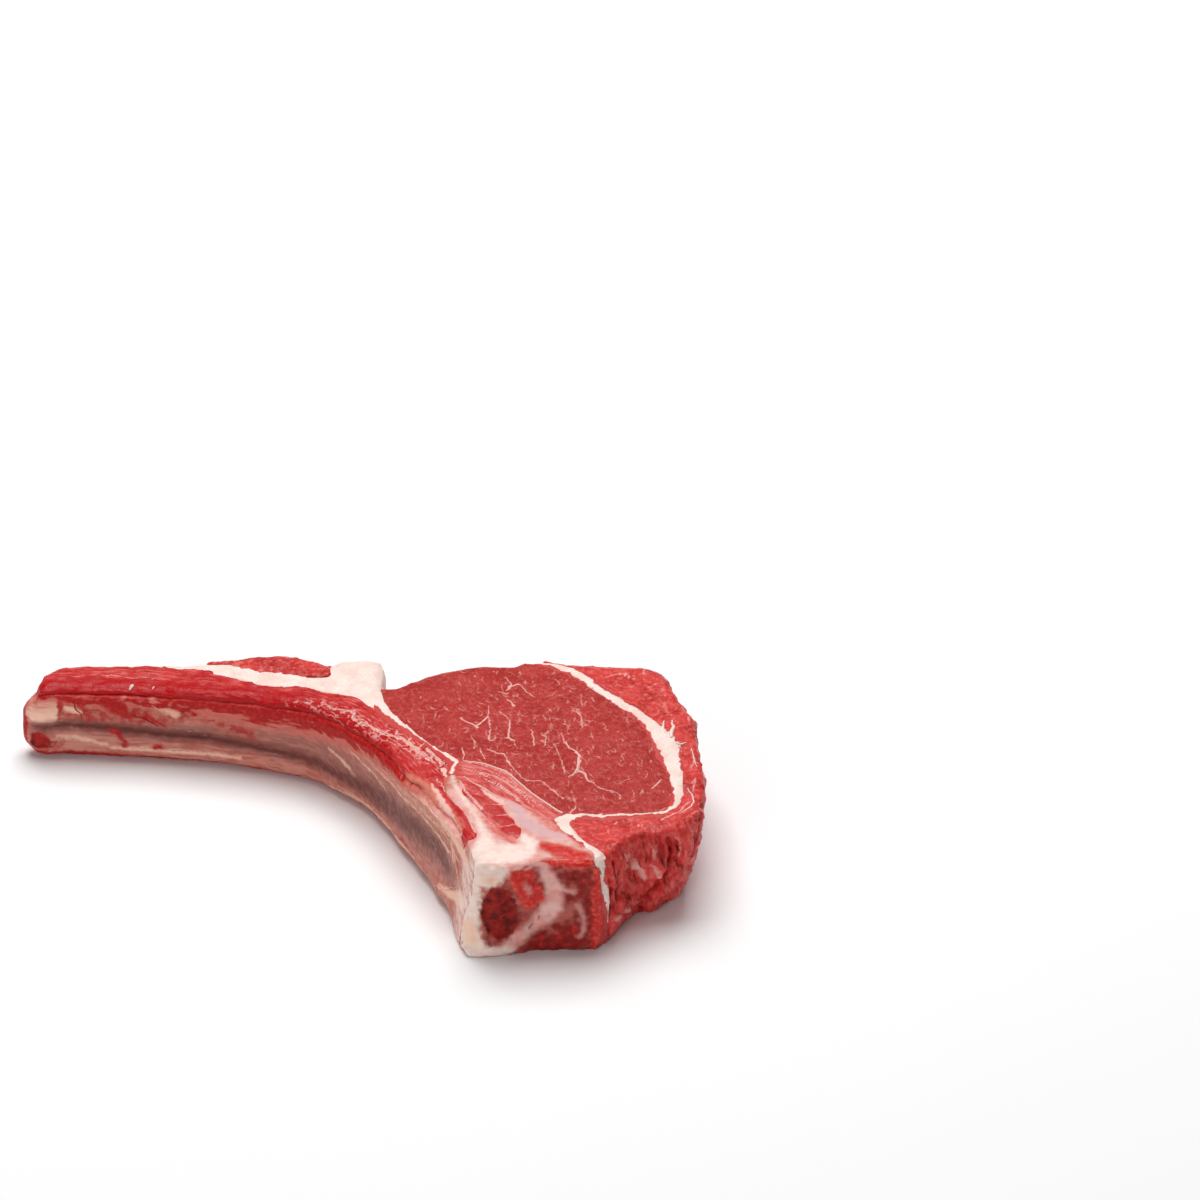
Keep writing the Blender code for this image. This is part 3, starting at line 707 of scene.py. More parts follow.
def lean_finish(name, red, light, deep, flow=None, pale=(0.45, 0.75)):
    """Bright lean with a fibrous grain, a deeper red where a layer is drawn: painted shade in the cap's
    clefts, the lean's own darker parts on the other pieces.
    """
    f = Finish(name, shine=0.16)
    place = f.flow(flow) if flow else f.at(LEAN_GRAIN)
    fibres = f.cells(place)
    f.colour = f.mottled(red, deep, 0.35, 0.7, 4.0)
    f.cover(f.step(f.cloud(place), *pale), light)
    f.cover(f.step(fibres, 0.10, 0.0, 0.35), light)
    # painted shade where this layer is drawn on the cap; the deeper red of the chine's lobes and the flank's
    # clouds is their own
    f.paint("hollow", deep, 0.35, 0.2, 0.7)
    f.paint("pale", VEIN_FAT, 0.45, 0.35, 0.9, 0.75)
    f.paint("vein", VEIN_FAT, 0.16, 0.14, 0.4)
    f.bump(fibres, 0.05)
    f.bump(f.cloud(0.4, 2.0), 0.06)
    return f.done(0.24, 0.52, 0.9, 3.0, 0.15)


def crag(obj, amount, size, seed, low):
    """Deep clefts down the walls; gives back how far each corner was drawn in."""
    p, n = corners_of(obj)
    level = 1 - rise(np.abs(n[:, 2]), 0.5, 0.85)
    cleft = rise(layered(p, size, seed), low, 0.9)
    inward = level * amount * (cleft - 0.3 * layered(p, 2.6, seed + 5, 2))
    move_to(obj, p - n * inward[:, None], LOW_EDGE)
    return inward


CAP_VEINS = [
    ((0.14, 0.1), [(56.5, -21.5), (59.8, -18.5), (62, -15)]),
    ((0.1, 0.08), [(62.2, -13.5), (63, -9)]),
    ((0.08, 0.12), [(61.8, -6), (62.8, -2.5), (62.2, 1)]),
    ((0.1, 0.06), [(58.5, 12), (60, 9)]),
    ((0.08, 0.06), [(46, 24), (49, 25.5), (52, 24.5)]),
    ((0.08, 0.05), [(48.5, 21.5), (51.5, 21)]),
]
CAP_LUMPS = [
    (48.6, 15.4, 3.8, 2, 82), (50.6, 7.6, 3.2, 2.6, 10), (52.8, 13, 3.2, 1.5, -72), (47.2, 5, 2.4, 1.6, 90),
    (60.4, 14.6, 4.2, 2.2, 80), (58.6, 8, 3.6, 2, 60),
]
CAP_CLEFTS = [
    (56.8, 15.6, 3.8, 0.9, -75), (54.6, 5.6, 3.6, 0.8, 60), (50.6, 12.4, 2.6, 0.5, -70),
    (62.6, 14, 3, 0.7, 85),
]
CAP_WALL_FAT = [
    ((0.2, 0.55, 0.6, 0.25), [(51.2, 15), (52, 12.8), (52.9, 11.2), (53.4, 9.4)]),
    ((0.15, 0.35, 0.2), [(54.8, 12.9), (55.8, 11.2), (56.4, 9.4)]),
    ((0.2, 0.45, 0.35, 0.2), [(47.8, 5.6), (49.2, 4.1), (50.8, 3.5), (52.6, 3.1)]),
    ((0.1, 0.28, 0.12), [(54.6, 17.4), (55.1, 15.8), (55.3, 14.4)]),
    ((0.1, 0.25, 0.12), [(59.4, 17.8), (60, 15.6), (59.8, 13.4)]),
    ((0.12, 0.25, 0.1), [(49, 18.6), (49.8, 17.2), (49.9, 15.6)]),
]
cap = fine_skin("cap_muscle", 0.9, rim=30)
roughen(cap, 0.05, face=0.20, wall=0.14, grain=(2.2, 2.2, 4.0))
# how far the clefts draw the wall in, which sets the painted shade below
hollow = crag(cap, 1.7, (4.6, 4.6, 14.0), 61, 0.05) + crag(cap, 0.35, (1.8, 1.8, 3.4), 67, 0.1)
places, normals = corners_of(cap)
facing = rise(-normals[:, 1], 0.2, 0.6) * (1 - rise(np.abs(normals[:, 2]), 0.6, 0.85))
x, z = wobbled(places[:, [0, 2, 1]], 0.5, 1.8)
knobs = facing * rise(spots(x, z, CAP_LUMPS, 1.0), -0.3, 0.9)
clefts = facing * rise(spots(x, z, CAP_CLEFTS, 1.0), -0.3, 0.4)
move_to(cap, places + normals * (0.9 * knobs - 1.1 * clefts)[:, None], LOW_EDGE)
write(cap, pale=np.maximum(strokes(x, z, CAP_WALL_FAT, 1.5) - 2.0 * (1 - facing), films(cap, 1.4, 95)))
places, normals = corners_of(cap)
x, y = wobbled(places, 0.3, 1.2)
draw = np.random.default_rng(CRUMB_SEED)
crumbs = [((0.05, 0.12, 0.04), [(a, b), (a + c, b + d), (a + 1.6 * c, b + 2.4 * d)]) for a, b, c, d in
          zip(draw.uniform(*CRUMB_ACROSS, CRUMB_COUNT), draw.uniform(*CRUMB_BACK, CRUMB_COUNT),
              draw.normal(0, 0.4, CRUMB_COUNT), draw.normal(0, 0.5, CRUMB_COUNT))]
# painted shade: deeper red in the clefts and crags and towards the floor, lighter on the knobs
write(cap, vein=strokes(x, y, CAP_VEINS + crumbs, 0.6) - 0.8 * (np.abs(normals[:, 2]) < 0.5),
      hollow=(hollow - 0.5 * knobs + clefts) * 1.2 - 1.0 + 0.5 * rise(places[:, 2], 4, 0))
dress(cap, lean_finish("cap_lean", CAP_RED, CAP_LIGHT, CAP_DEEP), "cap_muscle")
FAT_TAGS = [
    ((0.45, 0.34, 0.14), [(57, 4.6), (56.9, 7), (57.3, 9.8)]),
    ((0.45, 0.38, 0.12), [(58.2, 4.4), (58.9, 7.2), (58.7, 10.2)]),
    ((0.3, 0.2, 0.08), [(59.2, 2.6), (60.4, 2.2), (61.4, 3)]),
    ((0.1, 0.16, 0.05), [(61.6, -11.3), (62.6, -14.8), (61.5, -18), (59.8, -19.2)]),
    ((0.05, 0.12, 0.05), [(62.4, 1.2), (63.5, -4.7)]),
]
threads("fat_tags", FAT_TAGS, cap, thread_finish("tag_fat", FAT_WHITE, FAT_CREAM), 0.4, 1.4, 0.3)

# ---- Chine muscle ------------------------------------------------------------------------------
# The small streaky muscle between the eye and the vertebra: pink fibres with white sinew along them.

CHINE_RED = (0.64, 0.080, 0.072)
CHINE_PINK = (0.82, 0.27, 0.245)
CHINE_DEEP = (0.53, 0.026, 0.024)
EYE_SIDE = [
    (19.4, -3.4), (24.4, -5.4), (27.4, -7.4), (30.4, -10.9), (32.9, -14.4), (35.9, -17.4), (38.4, -19.6),
]
CHINE_VEINS = [
    ((0.18, 0.14, 0.16), [(19.6, -3.6), (24.4, -5.6), (27.4, -7.6), (30.4, -11.1), (32.9, -14.6),
        (35.9, -17.6), (38.3, -19.6)]),
    ((0.1, 0.3), [(19.6, -8.6), (23.2, -12.2), (26.5, -15)]),
    ((0.06, 0.14), [(22.1, -7), (26.5, -9.4), (30.1, -13.3), (32.9, -17.8)]),
    ((0.08, 0.1), [(19, -5.2), (22.5, -8.6), (26, -11.6), (30, -16)]),
    ((0.1, 0.45, 0.6), [(22.5, -12.4), (25, -14.8), (27.2, -16.6)]),
    ((0.08, 0.12, 0.08), [(24, -6.8), (28, -9.8), (31, -13.6), (34.6, -17.8)]),
    ((0.08, 0.14, 0.08), [(20.6, -5.6), (24.6, -9.4), (28.4, -13.4), (31, -17)]),
    ((0.04, 0.12, 0.04), [(23.8, -16.8), (25.4, -17.4), (27, -16.8)]),
    ((0.04, 0.12, 0.04), [(25.2, -20.4), (26.8, -20.2), (28.6, -19.6)]),
    ((0.04, 0.12, 0.04), [(26.4, -23.6), (28.2, -23.2), (30, -22.4)]),
    ((0.25, 0.16, 0.22), [(18.4, -9.5), (20.4, -13.5), (23, -18)]),
]
CHINE_LOBES = [
    (25.4, -18.4, 2.3, 1.5, -35), (27.2, -21.6, 2.5, 1.5, -30), (28.8, -24.6, 2.2, 1.6, -25),
    (22.4, -15.4, 2, 1.1, -45), (22.4, -12.4, 4.2, 0.6, -38), (20.4, -13.8, 2, 0.7, -52),
    (25, -10.4, 4, 0.5, -38),
]
CHINE_FILM = [((0.3, 0.7, 0.8), [(26, -14.4), (28.4, -16.8), (30.4, -20.2)])]
CHINE_THREADS = [
    ((0.14, 0.22, 0.2, 0.22, 0.26), EYE_SIDE),
    ((0.05, 0.1, 0.16), CHINE_VEINS[1][1]),
    ((0.05, 0.1, 0.08), CHINE_VEINS[2][1][:3]),
]
chine = fine_skin("chine_muscle", 0.9, rim=0)
places, normals = roughen(chine, 0.08, face=0.14)
x, y = wobbled(places, 0.30, 1.5)
lobes = spots(x, y, CHINE_LOBES, 1.0)
write(chine, hollow=lobes, vein=strokes(x, y, CHINE_VEINS, 0.8), pale=strokes(x, y, CHINE_FILM, 1.5))
on_cut = rise(normals[:, 2], 0.5, 0.8)
move_to(chine, places + normals * (0.28 * on_cut * rise(lobes, -0.2, 0.7))[:, None])
write_flow(chine, *along(places, EYE_SIDE), places[:, 2])
chine_lean = lean_finish("chine_lean", CHINE_RED, CHINE_PINK, CHINE_DEEP, (4.5, 0.9, 3.0), (0.46, 0.78))
dress(chine, chine_lean, "chine_muscle")
threads("chine_threads", CHINE_THREADS, chine, fat_thread, 0.5, 1.6, 0.2)

# ---- Bone --------------------------------------------------------------------------------------
# The curved rib and its vertebra: pale bone under a thin membrane, a long groove on the inner side in
# painted shade that widens into painted grey-brown shade in the hollow by the vertebra, blood near the
# tip, and a sawn front with its marrow, cartilage and ragged dark tissue.

RIB_LINE = [
    (-65.1, 28.6), (-62.1, 28.2), (-51.1, 27.9), (-31.3, 25.6), (-21.7, 23.6), (-11.3, 20.3), (-3.4, 15.1),
    (2.6, 8.4), (6.9, 1.8), (10.7, -5.2), (14.4, -11.5), (17.7, -17.2), (20.1, -21.8), (22.4, -26.4),
    (24.9, -30.4),
]
BONE_PALE = (0.67, 0.27, 0.21)
BONE_ROSE = (0.54, 0.155, 0.115)
BONE_CREAM = (0.94, 0.56, 0.42)
# painted grey-brown shade round the groove and in the hollow by the vertebra
BONE_BROAD_SHADE = (0.37, 0.135, 0.108)
BONE_BLUSH = (0.66, 0.15, 0.115)
# painted shade of the groove: grey-brown, and a deeper red towards the tip of the rib
BONE_SHADE = (0.19, 0.052, 0.042)
BONE_DEEP_SHADE = (0.12, 0.022, 0.017)
BONE_BLOOD = (0.42, 0.010, 0.009)
BONE_WHITE = (0.96, 0.76, 0.68)
CARTILAGE = (0.72, 0.43, 0.43)
GRISTLE = (0.78, 0.34, 0.30)
GRISTLE_PALE = (0.84, 0.50, 0.45)
BONE_PEACH = (0.96, 0.62, 0.46)
MARROW = (0.12, 0.004, 0.003)
MARROW_RED = (0.36, 0.014, 0.010)
RAW_RED = (0.60, 0.026, 0.020)
RAW_DARK = (0.25, 0.014, 0.011)
RAW_BROWN = (0.46, 0.110, 0.085)
RAW_ORANGE = (0.74, 0.095, 0.070)

# Strokes on the inner side of the rib: millimetres along the rib, and height.
# Painted shade: the dark line of the groove.
SHADE_RUN = [
    ((0.8, 1.1, 1.2, 1.2, 1.1, 1.1, 1.2, 1.4, 1.8, 2.3, 2.5, 2.4, 2, 1), [(2.5, 7), (10, 7.7), (17.5, 7.5),
        (26.5, 6.8), (35.5, 6.6), (42.5, 6.3), (51, 5.9), (61, 5.5), (69, 5.6), (77, 6.6), (84, 8.2),
        (93, 9.8), (101, 10.8), (108, 9.6)]),
]
# Painted shade: a broad grey-brown band round the groove, widening into the hollow by the vertebra.
BROAD_SHADE_RUN = [
    ((1, 1.5, 1.6, 2, 2.4, 3, 3.8, 4.4, 4, 2), [(4, 8), (15, 8.4), (28, 8.2), (42, 8.4), (55, 8.8),
        (68, 8.6), (80, 8.6), (92, 9.6), (103, 10.4), (112, 9.4)]),
]
BLOOD_RUN = [
    ((0.45, 0.3, 0.15), [(6.8, 13.6), (7, 11), (7, 9.1)]),
    ((0.2, 0.24, 0.2), [(11.2, 13.3), (11.5, 11.6), (12.5, 10.6), (12.6, 8.9)]),
    ((0.9, 1.5, 0.6), [(15.4, 13.6), (18.2, 12.4), (20.4, 10.6)]),
    ((0.25, 0.5, 0.35), [(21.4, 11.4), (24.8, 10.2), (27.4, 8.6)]),
    ((0.6, 0.5, 0.3), [(29.4, 14), (31.1, 12.4), (31.8, 11.4)]),
    ((0.6, 0.9, 0.5, 0.3), [(16.8, 7), (18.3, 6.2), (19.2, 4.8), (19.6, 3.6)]),
    ((0.5, 0.6, 0.4), [(25, 3.7), (26.4, 3.9), (27, 3.5)]),
    ((1.5, 1.4, 1.1, 0.8, 0.6, 0.5, 0.4), [(0, 0.5), (8, 0.5), (20, 0.3), (36, 0.2), (52, 0.2), (70, 0.1),
        (90, 0.1)]),
    ((0.12, 0.12), [(4.7, 3.1), (5.8, 2.8), (7.1, 3.1), (7.6, 4.3)]),
    ((0.1, 0.1), [(3.9, 3.3), (5.6, 3.9), (7.6, 3.9)]),
    ((0.2, 0.3, 0.2), [(83, 2.6), (88, 3.8), (92, 3.4)]),
]
TINT_RUN = [
    ((2.2, 2.6, 2.4, 1.6), [(7, 12), (15, 11.6), (24, 11.4), (33, 12.4)]),
    ((1, 1.4, 1), [(36, 11.2), (41, 9.6), (45, 9)]),
]
CREAM_RUN = [
    ((1.5, 1.5), [(2.2, 13), (5, 13)]),
    ((1.5, 1.5), [(2.2, 11), (5, 10.9)]),
    ((0.9, 0.9), [(1.8, 9.4), (5.6, 9.2)]),
    ((0.5, 0.7, 0.4), [(8.2, 11.7), (9.6, 11.3), (10.8, 11)]),
    ((0.5, 0.9, 0.6), [(25.4, 13.4), (27.6, 12.7), (29.6, 11.8)]),
    ((0.3, 0.5, 0.3), [(17, 3.2), (30, 3), (42, 3.2)]),
    ((0.2, 0.35, 0.2), [(6, 5.2), (12, 4.6), (16, 3.6)]),
    ((0.15, 0.3, 0.15), [(61.9, 10.6), (65.9, 8.9), (69.2, 7.4)]),
    ((0.1, 0.2, 0.15, 0.05), [(67.5, 13.4), (72.4, 11.9), (76.9, 11.3), (80.3, 10.4)]),
    ((0.1, 0.25, 0.25, 0.25, 0.35), [(72.5, 13.7), (79.3, 13.6), (86.9, 14), (96.6, 14.2), (106, 13)]),
    ((0.1, 0.25, 0.3, 0.3), [(77.7, 14.5), (90.2, 15.4), (96.3, 15.5), (104, 15.7)]),
    ((0.15, 0.3, 0.4, 0.5), [(88, 16.4), (97, 17.4), (105.5, 16.4), (109, 13)]),
    ((0.2, 0.3, 0.35, 0.4), [(62, 1.6), (72, 2.2), (84, 2.6), (95, 2.2)]),
    ((0.4, 0.8, 1.6), [(104, 4), (110, 6), (116, 9)]),
    ((0.4, 0.8, 1.2), [(100, 17.6), (108, 17.4), (116, 16)]),
]
VESSEL_HOLE = [(2.9, 4.2, 2, 1.8, 0)]
BONE_FLOOR = 0.08
OFF_FACE = -4                 # what a layer is given where its face turns away
# A darker red band along the foot of the rib's inner wall: millimetres along the rib, and its height there.
LOW_BAND_RUN = (0, 20, 60, 100)
LOW_BAND_HEIGHT = (1.9, 1.4, 0.8, 0.5)
PEACH_SPOTS = [(25, 17.6, 1.6, 1.3, 0), (21, 5, 1.6, 3, 0)]

# Lower edge of the meat over the bone: millimetres along the rib, and the heights there.
LIP_RUN = (0, 3, 10, 20, 30, 36, 45, 57, 69, 80, 88, 94)
LIP_HEIGHT = (13.0, 13.4, 14.2, 14.4, 14.0, 13.4, 12.4, 12.6, 14.6, 15.7, 17.2, 19.0)


def bone_finish():
    """Pale bone with every stain and layer that lies on it, and painted shade in its groove and in the hollow
    by the vertebra.
    """
    f = Finish("bone_and_gristle", 0.08, 0.14)
    streaks = f.cloud(f.flow((7.0, 0.8, 1.0)), 4.0)
    fine = f.cloud(0.7)
    f.colour = f.mix(f.step(streaks, 0.38, 0.62), BONE_ROSE, BONE_PALE)
    # painted shade, broad and grey-brown, round the groove and in the hollow by the vertebra
    f.paint("grey", f.mix(f.step(streaks, 0.40, 0.70, 0.45), BONE_BROAD_SHADE, BONE_PALE), 1.8, 0.6, 1.6)
    f.cover(f.step(f.field("tint"), -1.6, 1.2, 0.8), f.mottled(BONE_BLOOD, BONE_ROSE, 0.4, 0.62, 1.6))
    f.paint("cream", BONE_CREAM, 0.45, 0.35, 0.8)
    # painted shade of the groove: dark red towards the tip, grey-brown towards the vertebra
    shade = f.mix(f.step(streaks, 0.42, 0.74, 0.7), BONE_SHADE, BONE_BROAD_SHADE)
    shade = f.mix(f.step(f.field("run"), 34.0, 78.0), BONE_DEEP_SHADE, shade)
    f.paint("shade", shade, 1.4, 0.4, 1.5)
    f.cover(f.step(f.times(streaks, 5.0, f.field("under")), -0.4, 2.2, 0.85), BONE_BLUSH)
    f.paint("blood", f.mix(f.step(fine, 0.42, 0.72), BONE_BLOOD, RAW_RED), 0.50, 0.50, 1.0)
    f.cover(f.step(f.field("front"), 0.3, 0.7), f.mottled(RAW_BROWN, RAW_DARK, 0.40, 0.66, 2.6))
    f.paint("dark", f.mottled(RAW_DARK, RAW_RED, 0.46, 0.72, 1.4), 0.9, 0.7, 1.3)
    f.paint("raw", f.mottled(RAW_RED, RAW_ORANGE, 0.42, 0.70, 0.9), 0.6, 0.6, 0.9)
    f.paint("gristle", f.mottled(GRISTLE, GRISTLE_PALE, 0.40, 0.64, 2.4), 0.9, 0.4, 1.4)
    f.paint("rose", f.mix(f.step(fine, 0.4, 0.66), BONE_BLUSH, CHINE_PINK), 0.6, 0.4, 1.0)
    white = f.mottled(BONE_WHITE, FAT_CREAM, 0.40, 0.72, 1.5)
    f.paint("white", f.mix(f.step(f.field("peach"), -0.6, 1.0), white, BONE_PEACH), 0.75, 0.55, 0.9)
    f.paint("cartilage", CARTILAGE, 0.7, 0.3, 1.5)
    pores = f.step(f.cells(1.3, "F1"), 0.34, 0.10, 0.8)
    f.paint("marrow", f.mix(pores, f.mottled(MARROW, MARROW_RED, 0.36, 0.64, 1.7), MARROW), 0.30, 0.35, 0.8)
    f.bump(streaks, 0.15)
    f.bump(fine, 0.07)
    return f.done(0.28, 0.46)


def inner_side(normals, full):
    """How far each place faces the inner side of the rib, 0 to 1."""
    return rise(normals[:, 1] * -0.9 - normals[:, 0] * 0.4, 0.1, full)


bone_laps = {name: 0.6 for name in TREES if name != "bone"} | {"rib_meat": 1.0}
bone = fine_skin("bone", bone_laps, 0.32, rim=12)
places, _ = corners_of(bone)
ease(bone, rise(places[:, 2], 17.0, 19.0) * rise(-places[:, 1], 32.0, 34.0), 60)
places, normals = roughen(bone, 0.20, wall=0.14, grain=(3.0, 3.0, 3.0))
height = places[:, 2]
run, _ = along(places, RIB_LINE)
run_drawn = run + 0.7 * layered(places, 2.4, 5, 2)
up_drawn = height + 0.25 * layered(places, 1.6, 6, 2)
inner = inner_side(normals, 0.4)
front = rise(places[:, 1], -33.2, -34.4) * rise(-normals[:, 1], 0.25, 0.5)
top = rise(normals[:, 2], 0.3, 0.6)
wall_only = OFF_FACE * (front + 1 - inner)
over_lip = height - np.interp(run, LIP_RUN, LIP_HEIGHT)
slanted = height + 0.5 * np.maximum(run - 58, 0)
drawn = np.stack([run, slanted, places[:, 1]], axis=1)
frayed = 0.6 * layered(places, (5.0, 5.0, 1.5), 8) + 1.5 * layered(drawn, (6.0, 0.8, 6.0), 9)
frayed += rise(run, 46, 32) * rise(run, 4, 8) * (0.8 + 1.6 * layered(places, (2.6, 2.6, 1.8), 17))
under_meat = np.clip(over_lip + frayed, -4, 2) - 6 * rise(run, 92, 97)
x, y = wobbled(places, 0.3, 1.4)
x_front, z_front = wobbled(places[:, [0, 2, 1]], 0.4, 1.5)
write_flow(bone, run, slanted, places[:, 1])


def beside(paths, reach):
    """Strokes drawn on the inner side of the rib."""
    return strokes(run_drawn, up_drawn, paths, reach) + wall_only


write(bone, front=front, run=run, peach=spots(x_front, z_front, PEACH_SPOTS, 1.0),
      under=np.where(inner > 0.1, np.clip(over_lip, -6, 2) - 6 * rise(run, 92, 100), -6),
      cream=beside(CREAM_RUN, 2.0), shade=beside(SHADE_RUN, 3.0), grey=beside(BROAD_SHADE_RUN, 3.0),
      tint=beside(TINT_RUN, 3.0))
hole = spots(run_drawn, up_drawn, VESSEL_HOLE, 2.0)
stained = np.maximum(beside(BLOOD_RUN, 2.0), hole + wall_only)
# darker red along the foot of the inner wall, kept off the underside, the back and the end by the vertebra
low_edge = np.interp(run, LOW_BAND_RUN, LOW_BAND_HEIGHT) - up_drawn - 3.0 * (normals[:, 2] < -0.85)
low_edge -= 3.0 * (run > 104) + 3.0 * (normals[:, 1] > 0.1)
sawn_end = 1.4 * rise(run, 1.4, 0.2) - 0.8 + 0.8 * layered(places, 2.5, 12)
write(bone, blood=np.maximum.reduce([stained, low_edge, under_meat, np.where(run < 3, sawn_end, -2)]))
TOP_WHITE = [
    ((0.1, 0.2, 0.25, 0.3, 0.8, 2.2), [(16.9, -5.5), (18.2, -11.5), (20.4, -16.5), (22.3, -21.2),
        (23.6, -26), (24, -30)]),
    ((2.6, 3, 2.8, 2), [(22.4, -32.4), (25.5, -32.2), (28.5, -31.8), (31, -31.6)]),
    ((0.8, 1.2, 1.2), [(31, -26.8), (32.2, -29), (32, -31.4)]),
]
FRONT_WHITE = [
    ((2.9, 2.7, 2.6, 2.7, 2.6), [(20.4, 19), (20.2, 14), (20.1, 9), (20.4, 4), (22, 1.5)]),
    ((2.4, 2.4, 1.3), [(22, 18.6), (24.5, 18.2), (27, 19.2)]),
    ((1.4, 1.3, 0.8), [(23, 1.5), (26, 1.1), (28.6, 1.4)]),
]
TOP_CARTILAGE = [
    ((0.4, 0.9, 1.4, 1.2, 0.6), [(28.4, -16.2), (29.8, -18.8), (31.6, -22.4), (35, -25.6), (38, -26.8)]),
]
FRONT_GRISTLE = [
    ((1, 1.4, 1.6, 1.7, 1.8, 1.6, 1.3, 1.2, 1.1), [(34.4, 19.8), (35.5, 17.2), (36.4, 14.4), (36.6, 11.7),
        (35.4, 8.9), (33.4, 6.8), (31.2, 5), (28.8, 3.2), (27, 1.8)]),
    ((0.05, 0.16, 0.05), [(31, 16.6), (31.7, 15.4), (32.2, 14)]),
    ((0.16, 0.22, 0.14), [(40.8, 11), (41.9, 8.6), (42.1, 5.5), (41.4, 3.7)]),
    ((0.5, 0.3), [(37.6, 15.2), (40.2, 14)]),
]
FRONT_RAW = [
    ((1.9, 2.3, 2, 2.2, 2.1, 1.4), [(29.6, 20.2), (30.6, 18.4), (31, 16.4), (32, 14.6), (32.6, 12.8),
        (32.2, 11.6)]),
    ((0.8, 1.1, 1, 1.2, 0.9), [(44.6, 18.4), (44.8, 14), (44.6, 9.4), (44.8, 5), (44, 1)]),
    ((0.6, 0.9, 0.6), [(36.6, 20.4), (40, 20), (43.8, 19.6)]),
    ((0.3, 0.7, 0.5), [(18.8, 3.8), (19.6, 2), (21, 0.8)]),
]
TOP_ROSE = [
    ((0.9, 1.2, 1, 0.6), [(34, -18.2), (36.8, -22.2), (39.4, -25.8), (42, -29.8)]),
    ((0.5, 0.7, 0.5), [(31.4, -17.4), (34.2, -21.4), (37, -25)]),
    ((0.5, 0.8, 0.6), [(23.4, -20.6), (25.8, -24.8), (29, -28.4)]),
]
TOP_RAW = [
    ((1, 1.8, 1.8, 1), [(34.8, -29.4), (38, -31.4), (41.5, -33.2), (44.2, -34.6)]),
    ((0.8, 1.2, 1), [(35, -34.4), (38.6, -34.6), (43, -34.8)]),
]
FRONT_DARK = [(41, 17.6, 2.8, 1.5, 0), (43.2, 9, 6.5, 1.5, 90), (37.4, 2, 7, 2.2, 6), (40, 5, 2.6, 2, 30)]
FRONT_MARROW = [(26.6, 9.8, 6.1, 3.5, 97), (33.9, 8, 0.42, 0.15, 60), (32.3, 6.7, 0.42, 0.15, 60)]


def above(paths):
    """Strokes drawn on the upper face of the vertebra."""
    return strokes(x, y, paths, 2.0) + OFF_FACE * (1 - top)


def ahead(paths):
    """Strokes drawn on the sawn front of the vertebra."""
    return strokes(x_front, z_front, paths, 2.0) + OFF_FACE * (1 - front)


end_streaks = 0.6 * layered(drawn, (8.0, 0.8, 6.0), 14)
end_wall = inner * (1.25 * rise(-places[:, 1], 24, 34) + end_streaks) - 1.0 - 2 * front
marrow = spots(x_front, z_front, FRONT_MARROW, 2.0) + OFF_FACE * (1 - front)
hole_ring = 0.25 - np.abs(hole - 0.35) - 3.0 * (1 - inner)
front_raw, top_raw = ahead(FRONT_RAW), above(TOP_RAW)
top_gristle = np.where(run > 98, -1.0 + 1.6 * top - 2.0 * rise(top_raw, -0.9, 0.4), -1.0)
write(bone, white=np.maximum.reduce([above(TOP_WHITE), end_wall, ahead(FRONT_WHITE)]),
      dark=spots(x_front, z_front, FRONT_DARK, 2.0) + OFF_FACE * (1 - front), rose=above(TOP_ROSE),
      raw=np.maximum(front_raw, top_raw), marrow=np.maximum(marrow, hole_ring),
      cartilage=above(TOP_CARTILAGE), gristle=np.maximum(ahead(FRONT_GRISTLE), top_gristle))
swell = 0.45 * rise(front_raw, -0.2, 0.8) - 0.6 * rise(marrow, -0.2, 0.9)
swell += 0.35 * front * layered(places, 2.6, 15, 2) - 0.35 * rise(hole, -0.2, 0.8) * inner
move_to(bone, places + normals * swell[:, None], BONE_FLOOR)
dress(bone, bone_finish(), "bone")


BESIDE_RIB = (-1.6, -2.4)
MEMBRANES = [
    ((0.04, 0.12, 0.05), CREAM_RUN[8][1]),
    ((0.06, 0.18, 0.2, 0.14), CREAM_RUN[9][1]),
    ((0.06, 0.2, 0.2, 0.16), CREAM_RUN[10][1] + [(110, 14)]),
    ((0.08, 0.18, 0.2, 0.12), [(90, 16.8), (97, 17.4), (105.5, 16.2), (109, 13), (112, 8)]),
    ((0.06, 0.14, 0.06), [(64, 2.6), (72, 2.6), (80, 3.2)]),
    ((0.06, 0.12, 0.06), [(84, 3.6), (92, 2.6), (98, 2.6)]),
    ((0.05, 0.1, 0.05), [(100, 3), (106, 5), (111, 9)]),
    ((0.05, 0.1, 0.05), [(20, 3.4), (30, 3.2), (38, 3.6)]),
    ((0.05, 0.12, 0.05), [(26, 13.2), (28, 12.4), (29.6, 11.6)]),
]
VESSELS = [
    ((0.16, 0.14, 0.1, 0.08), BLOOD_RUN[1][1]),
    ((0.12, 0.18, 0.1), [(22.1, 11), (24.8, 10.2), (27.4, 8.6)]),
    ((0.07, 0.08, 0.05), BLOOD_RUN[8][1]),
    ((0.06, 0.07, 0.05), BLOOD_RUN[9][1]),
]


def beside_rib(paths):
    """Threads along paths of millimetres along the rib and heights, as places beside its inner side."""
    line = rounded(RIB_LINE, 4)
    travelled = np.concatenate([[0], np.cumsum(np.hypot(*(line[1:] - line[:-1]).T))])
    laid = []
    for radii, path in paths:
        runs, heights = zip(*path)
        across, back = (np.interp(runs, travelled, line[:, k]) + BESIDE_RIB[k] for k in (0, 1))
        laid.append((radii, list(zip(across, back, heights))))
    return laid


membrane = thread_finish("membrane", BONE_CREAM, BONE_PALE)
threads("membranes", beside_rib(MEMBRANES), bone, membrane, 1.2, 2.5, 0.0)
blood_vessel = thread_finish("blood_vessel", BONE_BLOOD, RAW_DARK)
threads("vessels", beside_rib(VESSELS), bone, blood_vessel, 0.4, 1.2, 0.0)

# ---- Rib meat ----------------------------------------------------------------------------------
# The strip of lean along the rib: long fibres, a net of white sinew towards the eye, and a ragged
# lower edge over the bone.

